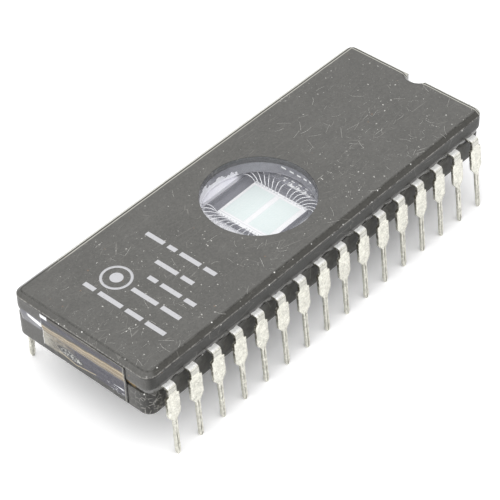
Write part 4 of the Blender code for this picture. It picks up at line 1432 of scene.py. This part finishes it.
def scattered(make, patch):
    """Points strewn over the lid, denser in some places and towards the near long edge and the ends."""
    share = make.out("ShaderNodeTexNoise", pick="Fac", Scale=patch, Detail=2.0).spread(0.42, 0.62, 0.12, 1.0)
    x, y, _ = make.axes(make.out("GeometryNodeInputPosition"))
    edge = y.spread(-4.4 * MM, -6.6 * MM, 1.0, 4.8)
    ends = abs(x).spread(16.5 * MM, 19.5 * MM, 1.0, 1.8)
    dense = make["Density"] * CM2_IN_M2 * (share * (edge | ends))
    return make.out("GeometryNodeDistributePointsOnFaces", Mesh=make[0], Density=dense, Seed=make["Seed"])


def sized(make, low, high, seed, power):
    """A random size between two inputs; the higher the power, the rarer the large ones."""
    chance = make.math("POWER", make.random(0.0, 1.0, seed), power)
    return (make[high] - make[low]) * chance + make[low]


def stroke_of(make, curl):
    """A thin tapered stroke one metre long that is scaled down where it is placed."""
    line = make.out("GeometryNodeCurveQuadraticBezier", Resolution=8, Start=(-0.5, 0, 0), Middle=(0.05, curl, 0),
                    End=(0.5, 0, 0))
    share = make.out("GeometryNodeSplineParameter", pick="Factor")
    swell = make.math("SINE", share * math.pi) * 0.8 + 0.2
    line = make.out("GeometryNodeSetCurveRadius", Curve=line, Radius=swell)
    section = make.out("GeometryNodeCurvePrimitiveQuadrilateral", mode="KITE", Width=make["Width"],
                       Bottom_Height=make["Thickness"], Top_Height=make["Thickness"])
    mesh = make.out("GeometryNodeCurveToMesh", Curve=line, Profile_Curve=section, Fill_Caps=True)
    return make.out("GeometryNodeGeometryToInstance", mesh)


def build_scuffs(settings, finish):
    sizes = {"Density": float(settings.scuffs), "Shortest": settings.shortest, "Longest": settings.longest,
             "Width": 0.030, "Thickness": 0.004, "Seed": settings.seed}
    make = Recipe("scuffs on the lid", sizes, finish)
    kinds = make.join(*(stroke_of(make, curl) for curl in STROKE_CURLS))
    size = sized(make, "Shortest", "Longest", 5, 6.0)
    slim = make.math("MINIMUM", size, 0.9 * MM) * 0.75 + 0.18 * MM
    placed = make.place(scattered(make, 260.0), kinds, Pick_Instance=True,
                        Instance_Index=make.random(0, len(STROKE_CURLS) - 1, 7, "INT"),
                        Rotation=make.vector(z=make.random(0.0, 4 * QUARTER, 6)),
                        Scale=make.vector(size, slim, 0.5 * MM))
    settle(make.grow("lid_scuffs", wear_field("scuff_field"), placed), "ceramic")


def build_specks(settings, finish):
    sizes = {"Density": float(settings.specks), "Small": 0.016 * MM, "Large": 0.065 * MM,
             "Seed": settings.seed + 1}
    make = Recipe("specks on the lid", sizes, finish)
    size = sized(make, "Small", "Large", 8, 4.0)
    grit = make.out("GeometryNodeMeshIcoSphere", Radius=1.0, Subdivisions=1)
    placed = make.place(scattered(make, 340.0), grit, Rotation=make.vector(z=make.random(0.0, 4 * QUARTER, 9)),
                        Scale=make.vector(size * 1.6, size, size * 0.25))
    settle(make.grow("lid_specks", wear_field("speck_field"), placed), "ceramic")


# Stage

def white_rays(make):
    """1 for rays that see a white background: from the camera, off gloss and through glass."""
    rays = make.node("ShaderNodeLightPath").outputs
    seen, gloss, through = (Value(make, rays[f"Is {kind} Ray"]) for kind in ("Camera", "Glossy", "Transmission"))
    return seen | gloss | through


def build_floor(settings):
    """Plain pale floor that keeps the shadow."""
    shape = bmesh.new()
    bmesh.ops.create_grid(shape, x_segments=2, y_segments=2, size=1.5)
    floor = stand("floor", as_mesh("floor", shape))
    material = bpy.data.materials.new("pale floor")
    material.use_nodes = True
    make = Wiring(material.node_tree)
    shader = make.tree.nodes["Principled BSDF"]
    for word, value in (("Base Color", settings.floor), ("Roughness", 0.9), ("Specular IOR Level", 0.0)):
        make.feed(shader.inputs[word], value)
    lift = white_rays(make).spread(0.0, 1.0, 0.0, settings.floor_lift)
    paler = make.out("ShaderNodeBsdfDiffuse", Color=make.out("ShaderNodeCombineColor", lift, lift, lift))
    whole = make.out("ShaderNodeAddShader", Value(make, shader.outputs[0]), paler)
    make.feed(make.tree.nodes["Material Output"].inputs["Surface"], whole)
    floor.data.materials.append(material)


def build_light(settings):
    """Even light from all round and one large soft lamp above, a little to the left."""
    world = bpy.data.worlds.new("studio")
    bpy.context.scene.world = world
    world.use_nodes = True
    make = Wiring(world.node_tree)
    sky = make.tree.nodes["Background"]
    make.feed(sky.inputs["Color"], WHITE)
    make.feed(sky.inputs["Strength"], white_rays(make).spread(0.0, 1.0, settings.ambient, 1.0))
    lamp = bpy.data.lights.new("key", "AREA")
    lamp.shape = "SQUARE"
    lamp.size = settings.key_size
    lamp.energy = settings.key
    key = stand("key", lamp)
    way = Vector((-0.45, -0.15, 1.0)).normalized()
    key.location = way * 0.45
    key.rotation_euler = (-way).to_track_quat("-Z", "Y").to_euler()


def build_camera():
    """Camera at the photograph's viewing angle. Its length, centre and side are in pixels of the photograph."""
    azimuth, elevation, roll, distance = -0.8247, 0.7494, -0.0297, 169.5219 * MM
    length, centre_x, centre_y, side = 1991.8769, 251.0271, 249.9144, 500
    target = Vector((0.3639, 1.367, 2.0)) * MM
    back = Vector((math.sin(azimuth) * math.cos(elevation), -math.cos(azimuth) * math.cos(elevation),
                   math.sin(elevation)))
    right = Vector((math.cos(azimuth), math.sin(azimuth), 0))
    up = back.cross(right)
    right, up = (right * math.cos(roll) + up * math.sin(roll), up * math.cos(roll) - right * math.sin(roll))
    matrix = Matrix((right, up, back)).transposed().to_4x4()
    matrix.translation = target + back * distance
    data = bpy.data.cameras.new("camera")
    data.sensor_width = 36
    data.lens = length / side * data.sensor_width
    data.shift_x = (side / 2 - centre_x) / side
    data.shift_y = (centre_y - side / 2) / side
    data.clip_start, data.clip_end = 0.01, 10
    camera = stand("camera", data)
    camera.matrix_world = matrix
    bpy.context.scene.camera = camera


# Operators

class Step:
    """What the operators share."""

    bl_options = {"REGISTER", "UNDO"}

    def execute(self, context):
        self.build(context.scene)
        return {"FINISHED"}


class CHIP_OT_plates(Step, bpy.types.Operator):
    """Builds the ceramic lid and base, and finishes the seal glass between them"""

    bl_idname = "chip.plates"
    bl_label = "Ceramic plates"

    def build(self, scene):
        build_lid(scene.chip_plates)
        build_base(scene.chip_plates)
        dress("seal_glass", seal_finish(scene.chip_plates))
        build_bead(scene.chip_plates)
        build_frit(scene.chip_plates)


class CHIP_OT_leads(Step, bpy.types.Operator):
    """Builds the 32 tinned leads"""

    bl_idname = "chip.leads"
    bl_label = "Leads"

    def build(self, scene):
        build_leads(scene.chip_leads)


class CHIP_OT_wires(Step, bpy.types.Operator):
    """Draws the bond wires from the die to the fingers"""

    bl_idname = "chip.wires"
    bl_label = "Bond wires"

    def build(self, scene):
        build_wires(scene.chip_leads, scene.chip_die)


class CHIP_OT_die(Step, bpy.types.Operator):
    """Finishes the die and adds its bond pads"""

    bl_idname = "chip.die"
    bl_label = "Die"

    def build(self, scene):
        build_die(scene.chip_die)


class CHIP_OT_lens(Step, bpy.types.Operator):
    """Builds the window lens"""

    bl_idname = "chip.lens"
    bl_label = "Window lens"

    def build(self, scene):
        build_lens(scene.chip_window)


class CHIP_OT_film(Step, bpy.types.Operator):
    """Builds the wrinkled film over the plain end"""

    bl_idname = "chip.film"
    bl_label = "End film"

    def build(self, scene):
        build_film(scene.chip_film)


class CHIP_OT_marks(Step, bpy.types.Operator):
    """Prints plain marks on the lid"""

    bl_idname = "chip.marks"
    bl_label = "Print marks"

    def build(self, scene):
        build_marks(scene.chip_marks)


class CHIP_OT_wear(Step, bpy.types.Operator):
    """Strews scuffs and specks over the lid"""

    bl_idname = "chip.wear"
    bl_label = "Wear"

    def build(self, scene):
        finish = rub_finish(scene.chip_wear)
        build_scuffs(scene.chip_wear, finish)
        build_specks(scene.chip_wear, finish)


class CHIP_OT_stage(Step, bpy.types.Operator):
    """Sets up the floor, the light and the camera"""

    bl_idname = "chip.stage"
    bl_label = "Stage"

    def build(self, scene):
        build_floor(scene.chip_stage)
        build_light(scene.chip_stage)
        build_camera()
        scene.view_settings.view_transform = "Standard"


SETTINGS = {
    "chip_plates": PlateSettings,
    "chip_leads": LeadSettings,
    "chip_die": DieSettings,
    "chip_window": WindowSettings,
    "chip_film": FilmSettings,
    "chip_marks": MarkSettings,
    "chip_wear": WearSettings,
    "chip_stage": StageSettings,
}
STEPS = {
    CHIP_OT_plates: "chip_plates",
    CHIP_OT_leads: "chip_leads",
    CHIP_OT_wires: None,
    CHIP_OT_die: "chip_die",
    CHIP_OT_lens: "chip_window",
    CHIP_OT_film: "chip_film",
    CHIP_OT_marks: "chip_marks",
    CHIP_OT_wear: "chip_wear",
    CHIP_OT_stage: "chip_stage",
}


class CHIP_PT_sidebar(bpy.types.Panel):
    """Steps that build the package, each with its sizes and colours"""

    bl_idname = "CHIP_PT_sidebar"
    bl_label = "Ceramic package"
    bl_space_type = "VIEW_3D"
    bl_region_type = "UI"
    bl_category = "Chip"

    def draw(self, context):
        for step, group in STEPS.items():
            box = self.layout.box()
            box.operator(step.bl_idname)
            if group:
                settings = getattr(context.scene, group)
                for name in settings.__annotations__:
                    box.prop(settings, name)


def register():
    for group in SETTINGS.values():
        bpy.utils.register_class(group)
    for name, group in SETTINGS.items():
        setattr(bpy.types.Scene, name, PointerProperty(type=group))
    for step in STEPS:
        bpy.utils.register_class(step)
    bpy.utils.register_class(CHIP_PT_sidebar)


def unregister():
    bpy.utils.unregister_class(CHIP_PT_sidebar)
    for step in STEPS:
        bpy.utils.unregister_class(step)
    for name, group in SETTINGS.items():
        delattr(bpy.types.Scene, name)
        bpy.utils.unregister_class(group)


def main():
    """Builds everything in order."""
    register()
    bpy.ops.chip.plates()
    bpy.ops.chip.leads()
    bpy.ops.chip.wires()
    bpy.ops.chip.die()
    bpy.ops.chip.lens()
    bpy.ops.chip.film()
    bpy.ops.chip.marks()
    bpy.ops.chip.wear()
    bpy.ops.chip.stage()


if __name__ == "__main__":
    main()
